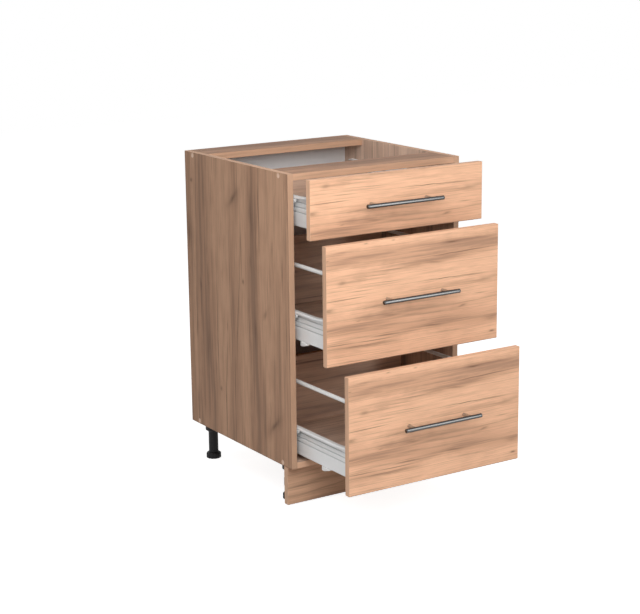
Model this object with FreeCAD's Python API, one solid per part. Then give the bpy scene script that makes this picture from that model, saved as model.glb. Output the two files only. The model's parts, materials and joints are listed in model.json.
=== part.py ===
import FreeCAD, Part

import collections
import math
import os

# Base cabinet for a fitted kitchen: a board carcass on adjustable legs, with three drawers
# that have steel sides and run on nylon rollers. All lengths are in millimetres.
#
# Axes: +X to the right seen from the front, +Y towards the wall, +Z up.
# Origin: on the floor, under the middle of the box that holds the whole cabinet with its
# drawers standing open as far as they do at rest.
#
# Whatever is there twice, left and right, is shaped once on the right and mirrored.

Vector = FreeCAD.Vector
Screw = collections.namedtuple("Screw", "shank_r shank_l head_r head_h")
Drawer = collections.namedtuple("Drawer", "name front_z front_h opened side_rise back_rise railed")

# ---------------------------------------------------------------- driving dimensions

# Carcass
CABINET_W = 500.0         # over the two side panels
CABINET_D = 500.0         # depth of the side panels
CARCASS_H = 720.0         # height of the side panels
LEG_H = 100.0             # floor to the underside of the carcass
BOARD_T = 16.0            # side panels, bottom panel and rails
RAIL_W = 96.0             # depth of each top rail
BACK_T = 3.0              # hardboard back
BACK_INSET = 10.0         # rear edges of the panels to the hardboard
GROOVE_DEPTH = 7.0        # how far the hardboard is let in
EDGE_R = 0.8              # rounding of the edge banding

# Joints of the carcass
JOINT_INSET = 41.0        # panel edge to the corner screw
DOWEL_SPREAD = 22.0       # corner screw to the rail dowels on both sides of it
BOTTOM_DOWEL_INSET = 150.0  # panel edge to the dowels of the bottom panel
DOWEL_R = 4.0
DOWEL_L = 30.0
DOWEL_IN_PANEL = 11.0     # length of a dowel that sits in the side panel
CORNER_SCREW = Screw(shank_r=3.5, shank_l=42.0, head_r=5.0, head_h=4.0)
CAP_R = 6.0               # cover cap over a corner screw
CAP_T = 2.0

# Plinth
PLINTH_T = 16.0
PLINTH_SETBACK = 20.0     # carcass front edge to the plinth's face
PLINTH_FLOOR_GAP = 4.0
PLINTH_TOP_GAP = 1.0
CLIP_PLATE_W = 44.0
CLIP_PLATE_H = 30.0
CLIP_PLATE_T = 3.0
CLIP_RING_T = 3.0
CLIP_RING_H = 18.0
CLIP_MOUTH_W = 18.0       # opening that snaps over the leg
CLIP_ARM_W = 12.0
CLIP_SCREW_X = 15.0       # clip centre to each of its two screws

# Legs
LEG_SIDE_INSET = 40.0     # cabinet side to the leg's axis
LEG_FRONT_INSET = 72.0
LEG_REAR_INSET = 40.0
LEG_TUBE_R = 12.6
LEG_BORE_R = 8.5
LEG_BORE_L = 52.0
LEG_FLANGE_R = 30.0
LEG_FLANGE_T = 5.0
LEG_COLLAR_R = 20.0       # collar under the flange
LEG_COLLAR_H = 18.0
LEG_FLARE_H = 6.0         # flare between tube and collar
LEG_SCREW_RING_R = 24.5   # leg's axis to its screws
LEG_SCREWS = 4
FOOT_R = 19.6
FOOT_H = 15.0
FOOT_CHAMFER = 3.0
FOOT_STEM_L = 44.0
FOOT_GRIPS = 12           # grip notches round the foot
FOOT_GRIP_R = 2.0
FOOT_GRIP_DEPTH = 1.2

# Drawer fronts
FRONT_T = 16.0
FRONT_SIDE_REVEAL = 1.5   # carcass side to the front's edge
FRONT_END_REVEAL = 2.5    # carcass top or bottom to the front's edge
FRONT_GAP = 3.0           # between two fronts
BUFFER_GAP = 2.0          # carcass edge to a closed front
TOP_FRONT_H = 141.0

# How far each drawer stands open at rest, and how far it comes out in all
OPENED_TOP = 76.0
OPENED_MIDDLE = 141.0
OPENED_BOTTOM = 229.0
FULL_TRAVEL = 335.0

# Drawer boxes
DRAWER_L = 450.0          # length of the steel sides
SIDE_CLEAR_X = 15.5       # carcass panel to the inner face of the steel side
SIDE_H = 74.0
SHEET_T = 1.2
TOP_SIDE_RISE = 17.0      # lower edge of the front to the underside of the steel side
DEEP_SIDE_RISE = 27.0
CHANNEL_W = 13.2          # inner face to the outer lip of the rolled top edge
LIP_H = 5.0
SWEEP_RISE = 7.0          # the top edge sweeps up behind the front
SWEEP_L = 70.0
BEAD_H = 4.0              # pressed beads along the side
BEAD_DEPTH = 0.5
BEAD_DROPS = (16.0, 28.0, 40.0)   # top edge to each bead
BEAD_INSET = 10.0
FLANGE_W = 14.0           # inward flange that carries the drawer bottom
FRONT_FLANGE_W = 10.0     # outward flange behind the front
FLANGE_SCREW_INSET = 45.0  # end of the steel side to the flange's outer screws
REAR_TAB_W = 15.0         # inward tab behind the drawer back
REAR_TAB_SCREW_INSET = 15.0  # lower and upper end of the tab to its screws
DRAWER_BOTTOM_T = 12.0
DRAWER_BACK_T = 16.0
DEEP_BACK_RISE = 216.0    # lower edge of a deep front to the top of its drawer back
BOARD_CLEAR = 0.3         # board to steel side
BRACKET_T = 1.5
BRACKET_W = 26.0
BRACKET_L = 42.0
BRACKET_H = 36.0
BRACKET_CLEAR = 2.0       # drawer bottom to the bracket
BRACKET_SCREW_X = 16.0    # steel side to the bracket's screws
BRACKET_SCREW_INSET = 9.0  # lower and upper end of the bracket to its screws
SIDE_CLIP_L = 30.0        # plastic clip under the steel side
SIDE_CLIP_BACK = 112.0    # front to the clip
SIDE_CLIP_W = 10.2
SIDE_CLIP_PROUD = 1.5     # outer face of the steel side to the clip's outer face
SIDE_CLIP_DROP = 10.5
SIDE_CLIP_HEAD_L = 9.0    # full drop at the clip's rear end
SIDE_CLIP_TIP_H = 3.0     # drop at its front end
SIDE_PEG_R = 2.5          # peg that plugs the clip into the flange and the drawer bottom
SIDE_PEG_L = 7.0
SIDE_PEG_INSET = 7.5      # from the clip's rear end, and inwards from its outer face

# Railings of the deep drawers
ROD_R = 5.0
ROD_RISE = 208.0          # lower edge of the front to the rod's axis
ROD_INSET = 4.5           # inner face of the steel side to the rod's axis
HOLDER_R = 6.5
FRONT_HOLDER_L = 38.0
REAR_HOLDER_L = 12.0
ROD_CLEAR = 0.1

# Handles
HANDLE_L = 220.0
HANDLE_R = 5.0
HANDLE_STANDOFF = 30.0    # front to the bar's axis
POST_SPACING = 160.0
POST_R = 4.0
HANDLE_TAP_L = 12.0       # depth of the thread in a post

# Runners and rollers
RUNNER_L = 450.0
RUNNER_SETBACK = 2.0      # carcass front edge to the runner
RUNNER_FLANGE_W = 11.3
RUNNER_FOOT_H = 18.0      # screwed strip under the channel
RUNNER_NOTCH = 17.0       # channel starts this far behind the runner's front end
FRONT_ROLLER_R = 7.5
FRONT_ROLLER_W = 4.5
REAR_ROLLER_R = 8.0
REAR_ROLLER_W = 8.0
REAR_ROLLER_INSET = 14.0  # rear end of the steel side to the roller's axis
PIN_R = 2.5
PIN_HEAD_R = 4.0
PIN_HEAD_T = 0.8
STOP_H = 6.0              # stop tab that ends the travel
RUNNER_SCREW_BACKS = (35.0, 227.0, 419.0)

# Screws: shank radius and length, head radius and height
LEG_SCREW = Screw(shank_r=2.0, shank_l=16.0, head_r=3.5, head_h=2.0)
CLIP_SCREW = Screw(shank_r=1.75, shank_l=14.0, head_r=3.5, head_h=2.0)
RUNNER_SCREW = Screw(shank_r=2.5, shank_l=12.0, head_r=4.5, head_h=2.0)
BOX_SCREW = Screw(shank_r=1.75, shank_l=10.0, head_r=3.25, head_h=1.6)
HANDLE_SCREW = Screw(shank_r=2.0, shank_l=26.0, head_r=4.0, head_h=2.2)

# Fits
HOLE_CLEAR = 0.1          # round a screw, dowel or cap, on the radius
HOLE_END = 0.5            # past the end of a screw or dowel
GROOVE_CLEAR = 0.2        # round the hardboard in its groove
PIN_CLEAR = 0.05          # roller on its pin, on the radius
RUN_CLEAR = 0.3           # roller to what it rolls on
ROLLER_SIDE_CLEAR = 0.5   # roller to what stands beside it
LIP_CLEAR = 1.0           # rolled edge of the drawer to the runner under it
LEG_CLIP_CLEAR = 0.2
STEM_CLEAR = 0.3          # screwed stem in the leg, on the radius

# ---------------------------------------------------------------- derived places

HANDLE_REACH = HANDLE_STANDOFF + HANDLE_R
FRONT_REACH = OPENED_BOTTOM + BUFFER_GAP + FRONT_T + HANDLE_REACH
FRONT_Y = (FRONT_REACH - CABINET_D) / 2          # front edges of the carcass
REAR_Y = FRONT_Y + CABINET_D
BACK_Y = REAR_Y - BACK_INSET - BACK_T            # front face of the hardboard
HALF_W = CABINET_W / 2
INNER_X = HALF_W - BOARD_T                       # inner face of the right side panel
CARCASS_TOP = LEG_H + CARCASS_H
SIDE_X = INNER_X - SIDE_CLEAR_X                  # inner face of the right steel side
WALL_X = SIDE_X + SHEET_T                        # its outer face
LIP_X = SIDE_X + CHANNEL_W                       # outer face of its rolled edge
WEB_X = INNER_X - SHEET_T                        # inner face of the right runner
BOARD_REST = SHEET_T + DRAWER_BOTTOM_T           # underside of a side to the bottom's top

# Heights in a runner, from the underside of the steel side that it carries
FRONT_PIN_H = SIDE_H - SHEET_T - RUN_CLEAR - FRONT_ROLLER_R
CHANNEL_TOP_H = SIDE_H - LIP_H - LIP_CLEAR
REAR_PIN_H = CHANNEL_TOP_H - SHEET_T - RUN_CLEAR - REAR_ROLLER_R
CHANNEL_FLOOR_H = REAR_PIN_H - REAR_ROLLER_R - RUN_CLEAR
RUNNER_FOOT_LOW = CHANNEL_FLOOR_H - SHEET_T - RUNNER_FOOT_H

UP = Vector(0, 0, 1)
RIGHT = Vector(1, 0, 0)
LEFT = Vector(-1, 0, 0)
TO_WALL = Vector(0, 1, 0)
TO_FRONT = Vector(0, -1, 0)


# ---------------------------------------------------------------- helpers

def box(x, y, z):
    """Box between three pairs of low and high values."""
    return Part.makeBox(x[1] - x[0], y[1] - y[0], z[1] - z[0], Vector(x[0], y[0], z[0]))


def board(x, y, z):
    """Box with the small rounding of banded board edges."""
    plain = box(x, y, z)
    return plain.makeFillet(EDGE_R, plain.Edges)


def rod(start, direction, radius, length):
    return Part.makeCylinder(radius, length, start, direction)


def fuse(shapes):
    """One solid from shapes that meet."""
    first, *rest = shapes
    return first.fuse(rest).removeSplitter() if rest else first


def cut(shape, tools):
    return shape.cut(tools) if tools else shape


def mirrored(shape):
    """The left-hand copy of a right-hand piece."""
    return shape.mirror(Vector(0, 0, 0), RIGHT)


def pair(shape):
    return [shape, mirrored(shape)]


def pairs(shapes):
    return [one for shape in shapes for one in pair(shape)]


def screw(kind, seat, direction):
    """Pan-head screw; its head sits on the seat and its shank runs along the direction."""
    shank = rod(seat, direction, kind.shank_r, kind.shank_l)
    head = rod(seat, -direction, kind.head_r, kind.head_h)
    return fuse([shank, head])


def screw_hole(kind, seat, direction):
    return rod(seat, direction, kind.shank_r + HOLE_CLEAR, kind.shank_l + HOLE_END)


def export(node, shapes):
    """Write a node: one solid, or a group of separate solids."""
    solids = [solid for shape in shapes for solid in shape.Solids]
    whole = solids[0] if len(solids) == 1 else Part.makeCompound(solids)
    whole.exportStep("parts/" + node + ".step")


# ---------------------------------------------------------------- carcass

def corner_points():
    """Where a corner screw enters the right side panel: (y, z) of rails and bottom."""
    front = FRONT_Y + JOINT_INSET
    rear = REAR_Y - JOINT_INSET
    rail_z = CARCASS_TOP - BOARD_T / 2
    bottom_z = LEG_H + BOARD_T / 2
    return [(front, rail_z), (rear, rail_z), (front, bottom_z), (rear, bottom_z)]


def dowel_points():
    """Where dowels cross from the right side panel into the rails and the bottom."""
    rail_z = CARCASS_TOP - BOARD_T / 2
    bottom_z = LEG_H + BOARD_T / 2
    rail_ys = [y + side * DOWEL_SPREAD for y, z in corner_points() if z == rail_z for side in (-1, 1)]
    bottom_ys = [FRONT_Y + BOTTOM_DOWEL_INSET, REAR_Y - BOTTOM_DOWEL_INSET]
    return [(y, rail_z) for y in rail_ys] + [(y, bottom_z) for y in bottom_ys]


def corner_screw_seat(y, z):
    return Vector(HALF_W - CAP_T - HOLE_CLEAR - CORNER_SCREW.head_h, y, z)


def corner_screw_holes():
    """Stepped holes: cap, head and shank."""
    holes = []
    for y, z in corner_points():
        outside = Vector(HALF_W, y, z)
        seat = corner_screw_seat(y, z)
        holes.append(rod(outside, LEFT, CAP_R + HOLE_CLEAR, CAP_T + HOLE_CLEAR))
        holes.append(rod(seat, RIGHT, CORNER_SCREW.head_r + HOLE_CLEAR, CORNER_SCREW.head_h))
        holes.append(screw_hole(CORNER_SCREW, seat, LEFT))
    return holes


def dowel(y, z, grow=0.0):
    """A dowel, or with grow its hole."""
    end = HOLE_END if grow else 0.0
    start = Vector(INNER_X + DOWEL_IN_PANEL + end, y, z)
    return rod(start, LEFT, DOWEL_R + grow, DOWEL_L + 2 * end)


def joint_holes():
    return corner_screw_holes() + [dowel(y, z, HOLE_CLEAR) for y, z in dowel_points()]


def groove(clear):
    """The space of the hardboard back, let in on all four sides, with a clearance."""
    half_w = INNER_X + GROOVE_DEPTH - GROOVE_CLEAR + clear
    low = LEG_H + BOARD_T - GROOVE_DEPTH + GROOVE_CLEAR - clear
    high = CARCASS_TOP - BOARD_T + GROOVE_DEPTH - GROOVE_CLEAR + clear
    return box((-half_w, half_w), (BACK_Y - clear, BACK_Y + BACK_T + clear), (low, high))


def runner_screw_seats(side_z):
    """Seats of the screws that hold the right runner under a drawer side at side_z."""
    z = side_z + RUNNER_FOOT_LOW + RUNNER_FOOT_H / 2
    return [Vector(WEB_X, FRONT_Y + RUNNER_SETBACK + back, z) for back in RUNNER_SCREW_BACKS]


def side_panel(drawers):
    panel = board((INNER_X, HALF_W), (FRONT_Y, REAR_Y), (LEG_H, CARCASS_TOP))
    seats = [seat for drawer in drawers for seat in runner_screw_seats(side_z(drawer))]
    holes = [screw_hole(RUNNER_SCREW, seat, RIGHT) for seat in seats]
    return cut(panel, holes + joint_holes() + [groove(GROOVE_CLEAR)])


def bottom_panel():
    panel = board((-INNER_X, INNER_X), (FRONT_Y, REAR_Y), (LEG_H, LEG_H + BOARD_T))
    leg_holes = [screw_hole(LEG_SCREW, seat, UP) for seat in leg_screw_seats()]
    return cut(panel, pairs(joint_holes()) + leg_holes + [groove(GROOVE_CLEAR)])


def rail(front_edge):
    plain = board((-INNER_X, INNER_X), (front_edge, front_edge + RAIL_W), (CARCASS_TOP - BOARD_T, CARCASS_TOP))
    return cut(plain, pairs(joint_holes()) + [groove(GROOVE_CLEAR)])


def export_carcass(drawers):
    right_panel = side_panel(drawers)
    export("left_side_panel", [mirrored(right_panel)])
    export("right_side_panel", [right_panel])
    export("bottom_panel", [bottom_panel()])
    export("front_rail", [rail(FRONT_Y)])
    export("rear_rail", [rail(REAR_Y - RAIL_W)])
    export("back_panel", [groove(0.0)])
    export("carcass_dowels", pairs([dowel(y, z) for y, z in dowel_points()]))
    screws = [screw(CORNER_SCREW, corner_screw_seat(y, z), LEFT) for y, z in corner_points()]
    export("corner_screws", pairs(screws))
    caps = [rod(Vector(HALF_W, y, z), LEFT, CAP_R, CAP_T) for y, z in corner_points()]
    export("screw_cover_caps", pairs(caps))


# ---------------------------------------------------------------- legs and plinth

def leg_places():
    """Name and axis of each leg."""
    ys = {"front": FRONT_Y + LEG_FRONT_INSET, "rear": REAR_Y - LEG_REAR_INSET}
    xs = {"left": LEG_SIDE_INSET - HALF_W, "right": HALF_W - LEG_SIDE_INSET}
    return {end + "_" + side: Vector(x, y, 0) for end, y in ys.items() for side, x in xs.items()}


def leg_screw_seats():
    """Seats under the flanges, at the corners of a square round each leg."""
    seats = []
    for place in leg_places().values():
        for index in range(LEG_SCREWS):
            angle = 2 * math.pi * (index + 0.5) / LEG_SCREWS
            arm = Vector(math.cos(angle), math.sin(angle), 0) * LEG_SCREW_RING_R
            seats.append(place + arm + UP * (LEG_H - LEG_FLANGE_T))
    return seats


def leg_tube_top():
    return LEG_H - LEG_FLANGE_T - LEG_COLLAR_H - LEG_FLARE_H


def leg(place):
    """Moulded leg: flange under the carcass, collar, flare, tube and the bore for the foot's stem."""
    collar_low = LEG_H - LEG_FLANGE_T - LEG_COLLAR_H
    flange = rod(place + UP * (LEG_H - LEG_FLANGE_T), UP, LEG_FLANGE_R, LEG_FLANGE_T)
    collar = rod(place + UP * collar_low, UP, LEG_COLLAR_R, LEG_COLLAR_H)
    flare = Part.makeCone(LEG_TUBE_R, LEG_COLLAR_R, LEG_FLARE_H, place + UP * leg_tube_top(), UP)
    tube = rod(place + UP * FOOT_H, UP, LEG_TUBE_R, leg_tube_top() - FOOT_H)
    bore = rod(place + UP * FOOT_H, UP, LEG_BORE_R, LEG_BORE_L)
    return fuse([flange, collar, flare, tube]).cut(bore)


def foot_base(place):
    """Turning foot: a round base with grip notches and a stem that screws into the leg."""
    straight = rod(place, UP, FOOT_R, FOOT_H - FOOT_CHAMFER)
    shoulder = place + UP * (FOOT_H - FOOT_CHAMFER)
    slope = Part.makeCone(FOOT_R, FOOT_R - FOOT_CHAMFER, FOOT_CHAMFER, shoulder, UP)
    stem = rod(place + UP * FOOT_H, UP, LEG_BORE_R - STEM_CLEAR, FOOT_STEM_L)
    notches = []
    for index in range(FOOT_GRIPS):
        angle = 2 * math.pi * index / FOOT_GRIPS
        arm = Vector(math.cos(angle), math.sin(angle), 0) * (FOOT_R + FOOT_GRIP_R - FOOT_GRIP_DEPTH)
        notches.append(rod(place + arm, UP, FOOT_GRIP_R, FOOT_H))
    return fuse([straight, slope, stem]).cut(notches)


def clip_screw_seats(place):
    plate_back = FRONT_Y + PLINTH_SETBACK + PLINTH_T + CLIP_PLATE_T
    return [Vector(place.x + side * CLIP_SCREW_X, plate_back, clip_z()) for side in (-1, 1)]


def clip_z():
    """Height of the plinth clips: the middle of the leg's tube."""
    return (FOOT_H + leg_tube_top()) / 2


def plinth_clip(place):
    """Plate on the plinth, an arm, and a spring ring that snaps over the leg."""
    plate_front = FRONT_Y + PLINTH_SETBACK + PLINTH_T
    plate = box((place.x - CLIP_PLATE_W / 2, place.x + CLIP_PLATE_W / 2),
                (plate_front, plate_front + CLIP_PLATE_T),
                (clip_z() - CLIP_PLATE_H / 2, clip_z() + CLIP_PLATE_H / 2))
    ring_low = place + UP * (clip_z() - CLIP_RING_H / 2)
    inner_r = LEG_TUBE_R + LEG_CLIP_CLEAR
    ring = rod(ring_low, UP, inner_r + CLIP_RING_T, CLIP_RING_H)
    arm = box((place.x - CLIP_ARM_W / 2, place.x + CLIP_ARM_W / 2), (plate_front, place.y),
              (ring_low.z, ring_low.z + CLIP_RING_H))
    hole = rod(ring_low, UP, inner_r, CLIP_RING_H)
    mouth = box((place.x - CLIP_MOUTH_W / 2, place.x + CLIP_MOUTH_W / 2),
                (place.y, place.y + inner_r + 2 * CLIP_RING_T),
                (ring_low.z, ring_low.z + CLIP_RING_H))
    holes = [screw_hole(CLIP_SCREW, seat, TO_FRONT) for seat in clip_screw_seats(place)]
    return fuse([plate, ring, arm]).cut([hole, mouth] + holes)


def export_legs_and_plinth():
    places = leg_places()
    legs = [leg(place) for place in places.values()]
    leg_holes = [screw_hole(LEG_SCREW, seat, UP) for seat in leg_screw_seats()]
    export("legs", [one.cut(leg_holes) for one in legs])
    export("leg_screws", [screw(LEG_SCREW, seat, UP) for seat in leg_screw_seats()])
    for name, place in places.items():
        export(name + "_foot_base", [foot_base(place)])

    front_places = [place for name, place in places.items() if name.startswith("front")]
    seats = [seat for place in front_places for seat in clip_screw_seats(place)]
    face = FRONT_Y + PLINTH_SETBACK
    plinth = board((-HALF_W, HALF_W), (face, face + PLINTH_T), (PLINTH_FLOOR_GAP, LEG_H - PLINTH_TOP_GAP))
    export("plinth_board", [cut(plinth, [screw_hole(CLIP_SCREW, seat, TO_FRONT) for seat in seats])])
    export("plinth_clips", [plinth_clip(place) for place in front_places])
    export("plinth_clip_screws", [screw(CLIP_SCREW, seat, TO_FRONT) for seat in seats])


# ---------------------------------------------------------------- runners and rollers

def side_z(drawer):
    """Underside of a drawer's steel sides."""
    return drawer.front_z + drawer.side_rise


def box_front(drawer):
    """Back face of a drawer's front, where the drawer box begins."""
    return FRONT_Y - BUFFER_GAP - drawer.opened


def front_pin_place(drawer):
    """Axis of the runner's roller: just behind the flange of the closed drawer side."""
    y = FRONT_Y - BUFFER_GAP + SHEET_T + RUN_CLEAR + FRONT_ROLLER_R
    return Vector(LIP_X - SHEET_T - ROLLER_SIDE_CLEAR, y, side_z(drawer) + FRONT_PIN_H)


def rear_pin_place(drawer):
    """Axis of the drawer's own roller, near the rear end of the steel side."""
    y = box_front(drawer) + DRAWER_L - REAR_ROLLER_INSET
    return Vector(WALL_X + ROLLER_SIDE_CLEAR, y, side_z(drawer) + REAR_PIN_H)


def pin(foot, direction, length):
    """Riveted pin with a head that keeps the roller on it."""
    shank = rod(foot, direction, PIN_R, length)
    head = rod(foot + direction * length, direction, PIN_HEAD_R, PIN_HEAD_T)
    return [shank, head]


def roller(start, direction, radius, width):
    return rod(start, direction, radius, width).cut(rod(start, direction, PIN_R + PIN_CLEAR, width))


def front_roller(drawer):
    return roller(front_pin_place(drawer), LEFT, FRONT_ROLLER_R, FRONT_ROLLER_W)


def rear_roller(drawer):
    return roller(rear_pin_place(drawer), RIGHT, REAR_ROLLER_R, REAR_ROLLER_W)


def runner(drawer):
    """Right runner: a web on the panel, a channel for the drawer's roller and its own pin."""
    z = side_z(drawer)
    front = FRONT_Y + RUNNER_SETBACK
    rear = front + RUNNER_L
    channel_x = (WEB_X - RUNNER_FLANGE_W, WEB_X)
    place = front_pin_place(drawer)
    web = box((WEB_X, INNER_X), (front, rear), (z + RUNNER_FOOT_LOW, place.z + PIN_HEAD_R))
    ceiling = box(channel_x, (front + RUNNER_NOTCH, rear), (z + CHANNEL_TOP_H - SHEET_T, z + CHANNEL_TOP_H))
    floor = box(channel_x, (front + RUNNER_NOTCH, rear), (z + CHANNEL_FLOOR_H - SHEET_T, z + CHANNEL_FLOOR_H))
    closed_roller_y = rear_pin_place(drawer).y + drawer.opened
    stop_y = closed_roller_y - FULL_TRAVEL - REAR_ROLLER_R - RUN_CLEAR
    stop = box(channel_x, (stop_y - SHEET_T, stop_y), (z + CHANNEL_FLOOR_H, z + CHANNEL_FLOOR_H + STOP_H))
    foot = Vector(WEB_X, place.y, place.z)
    pin_length = WEB_X - place.x + FRONT_ROLLER_W + ROLLER_SIDE_CLEAR
    whole = fuse([web, ceiling, floor, stop] + pin(foot, LEFT, pin_length))
    return cut(whole, [screw_hole(RUNNER_SCREW, seat, RIGHT) for seat in runner_screw_seats(z)])


def export_runners(drawers):
    seats = []
    for drawer in drawers:
        export(drawer.name + "_runners", pair(runner(drawer)))
        export(drawer.name + "_front_rollers", pair(front_roller(drawer)))
        export(drawer.name + "_rear_rollers", pair(rear_roller(drawer)))
        seats += runner_screw_seats(side_z(drawer))
    export("runner_screws", pairs([screw(RUNNER_SCREW, seat, RIGHT) for seat in seats]))


# ---------------------------------------------------------------- drawers

def sweep_arc(y, z):
    """Arc that leaves the level edge at z and ends SWEEP_RISE higher at y, behind the front."""
    radius = (SWEEP_L ** 2 + SWEEP_RISE ** 2) / (2 * SWEEP_RISE)
    half_turn = math.asin(SWEEP_L / radius) / 2
    start = Vector(0, y, z + SWEEP_RISE)
    middle = Vector(0, y + SWEEP_L - radius * math.sin(half_turn), z + radius * (1 - math.cos(half_turn)))
    end = Vector(0, y + SWEEP_L, z)
    return start, middle, end


def swept_strip(x, y, low, top, follows):
    """Plate from x[0] to x[1] whose top edge sweeps up at the front, its lower edge too if it follows."""
    start, middle, end = sweep_arc(y[0], top)
    edges = [Part.Arc(start, middle, end).toShape()]
    corners = [end, Vector(0, y[1], top), Vector(0, y[1], low)]
    if follows:
        low_start, low_middle, low_end = sweep_arc(y[0], low)
        edges.append(Part.Arc(low_end, low_middle, low_start).toShape())
        corners.append(low_end)
        closing = [low_start, start]
    else:
        corners.append(Vector(0, y[0], low))
        closing = [corners[-1], start]
    for points in (corners, closing):
        edges += [Part.LineSegment(a, b).toShape() for a, b in zip(points, points[1:])]
    face = Part.Face(Part.Wire(Part.__sortEdges__(edges)))
    return face.extrude(RIGHT * (x[1] - x[0])).translated(RIGHT * x[0])


def flange_screw_seats(drawer):
    """Under the inward flange: screws that hold the drawer bottom."""
    x = SIDE_X - FLANGE_W / 2
    backs = (FLANGE_SCREW_INSET, DRAWER_L / 2, DRAWER_L - FLANGE_SCREW_INSET)
    return [Vector(x, box_front(drawer) + back, side_z(drawer)) for back in backs]


def side_peg_place(drawer):
    """Foot of the peg, under the flange."""
    x = WALL_X + SIDE_CLIP_PROUD - SIDE_PEG_INSET
    y = box_front(drawer) + SIDE_CLIP_BACK + SIDE_CLIP_L - SIDE_PEG_INSET
    return Vector(x, y, side_z(drawer))


def peg_hole(drawer):
    return rod(side_peg_place(drawer), UP, SIDE_PEG_R + HOLE_CLEAR, SIDE_PEG_L + HOLE_END)


def rear_tab_screw_seats(drawer):
    """Behind the rear tab: screws that hold the drawer back."""
    low = side_z(drawer) + BOARD_REST + REAR_TAB_SCREW_INSET
    high = side_z(drawer) + SIDE_H - REAR_TAB_SCREW_INSET
    y = box_front(drawer) + DRAWER_L
    x = SIDE_X - REAR_TAB_W / 2
    return [Vector(x, y, z) for z in (low, high)]


def bracket_low(drawer):
    return side_z(drawer) + BOARD_REST + BRACKET_CLEAR


def bracket_screw_seats(drawer):
    low = bracket_low(drawer) + BRACKET_SCREW_INSET
    high = bracket_low(drawer) + BRACKET_H - BRACKET_SCREW_INSET
    y = box_front(drawer) + BRACKET_T
    x = SIDE_X - BRACKET_SCREW_X
    return [Vector(x, y, z) for z in (low, high)]


def handle_post_places(drawer):
    """Where the posts stand on the outer face of the front."""
    y = box_front(drawer) - FRONT_T
    z = drawer.front_z + drawer.front_h / 2
    return [Vector(side * POST_SPACING / 2, y, z) for side in (-1, 1)]


def handle_screw_seats(drawer):
    return [place + TO_WALL * FRONT_T for place in handle_post_places(drawer)]


def steel_side(drawer):
    """Right drawer side of folded sheet, with the pin of its rear roller."""
    low = side_z(drawer)
    top = low + SIDE_H
    front = box_front(drawer)
    rear = front + DRAWER_L
    length = (front, rear)
    wall = swept_strip((SIDE_X, WALL_X), length, low, top, False)
    shelf = swept_strip((SIDE_X, LIP_X), length, top - SHEET_T, top, True)
    lip = swept_strip((LIP_X - SHEET_T, LIP_X), length, top - LIP_H, top, True)
    flange = box((SIDE_X - FLANGE_W, WALL_X), (front + BRACKET_T, rear), (low, low + SHEET_T))
    front_flange = box((SIDE_X, WALL_X + FRONT_FLANGE_W), (front, front + SHEET_T), (low, top - SHEET_T))
    rear_tab = box((SIDE_X - REAR_TAB_W, WALL_X), (rear - SHEET_T, rear), (low + BOARD_REST, top - SHEET_T))
    place = rear_pin_place(drawer)
    pin_length = REAR_ROLLER_W + 2 * ROLLER_SIDE_CLEAR
    roller_pin = pin(Vector(WALL_X, place.y, place.z), RIGHT, pin_length)
    beads = [box((WALL_X - BEAD_DEPTH, WALL_X), (front + BEAD_INSET, rear - BEAD_INSET),
                 (top - drop - BEAD_H / 2, top - drop + BEAD_H / 2)) for drop in BEAD_DROPS]
    holes = [screw_hole(BOX_SCREW, seat, UP) for seat in flange_screw_seats(drawer)]
    holes += [screw_hole(BOX_SCREW, seat, TO_FRONT) for seat in rear_tab_screw_seats(drawer)]
    holes.append(peg_hole(drawer))
    sheet = fuse([wall, shelf, lip, flange, front_flange, rear_tab])
    return fuse([sheet.cut(beads)] + roller_pin).cut(holes)


def drawer_front(drawer):
    face = box_front(drawer) - FRONT_T
    half_w = HALF_W - FRONT_SIDE_REVEAL
    panel = board((-half_w, half_w), (face, face + FRONT_T),
                  (drawer.front_z, drawer.front_z + drawer.front_h))
    holes = pairs([screw_hole(BOX_SCREW, seat, TO_FRONT) for seat in bracket_screw_seats(drawer)])
    holes += [screw_hole(HANDLE_SCREW, seat, TO_FRONT) for seat in handle_screw_seats(drawer)]
    return cut(panel, holes)


def drawer_bottom(drawer):
    half_w = SIDE_X - BOARD_CLEAR
    low = side_z(drawer) + SHEET_T
    y = box_front(drawer)
    panel = box((-half_w, half_w), (y + BRACKET_T, y + DRAWER_L), (low, low + DRAWER_BOTTOM_T))
    holes = pairs([screw_hole(BOX_SCREW, seat, UP) for seat in flange_screw_seats(drawer)] + [peg_hole(drawer)])
    return cut(panel, holes)


def drawer_back(drawer):
    half_w = SIDE_X - BOARD_CLEAR
    rear = box_front(drawer) + DRAWER_L - SHEET_T
    panel = box((-half_w, half_w), (rear - DRAWER_BACK_T, rear),
                (side_z(drawer) + BOARD_REST, drawer.front_z + drawer.back_rise))
    holes = pairs([screw_hole(BOX_SCREW, seat, TO_FRONT) for seat in rear_tab_screw_seats(drawer)])
    return cut(panel, holes)


def front_bracket(drawer):
    """Right angle bracket that ties the steel side to the front."""
    y = box_front(drawer)
    z = (bracket_low(drawer), bracket_low(drawer) + BRACKET_H)
    plate = box((SIDE_X - BRACKET_W, SIDE_X), (y, y + BRACKET_T), z)
    tongue = box((SIDE_X - BRACKET_T, SIDE_X), (y, y + BRACKET_L), z)
    return cut(fuse([plate, tongue]), [screw_hole(BOX_SCREW, seat, TO_FRONT)
                                       for seat in bracket_screw_seats(drawer)])


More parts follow.
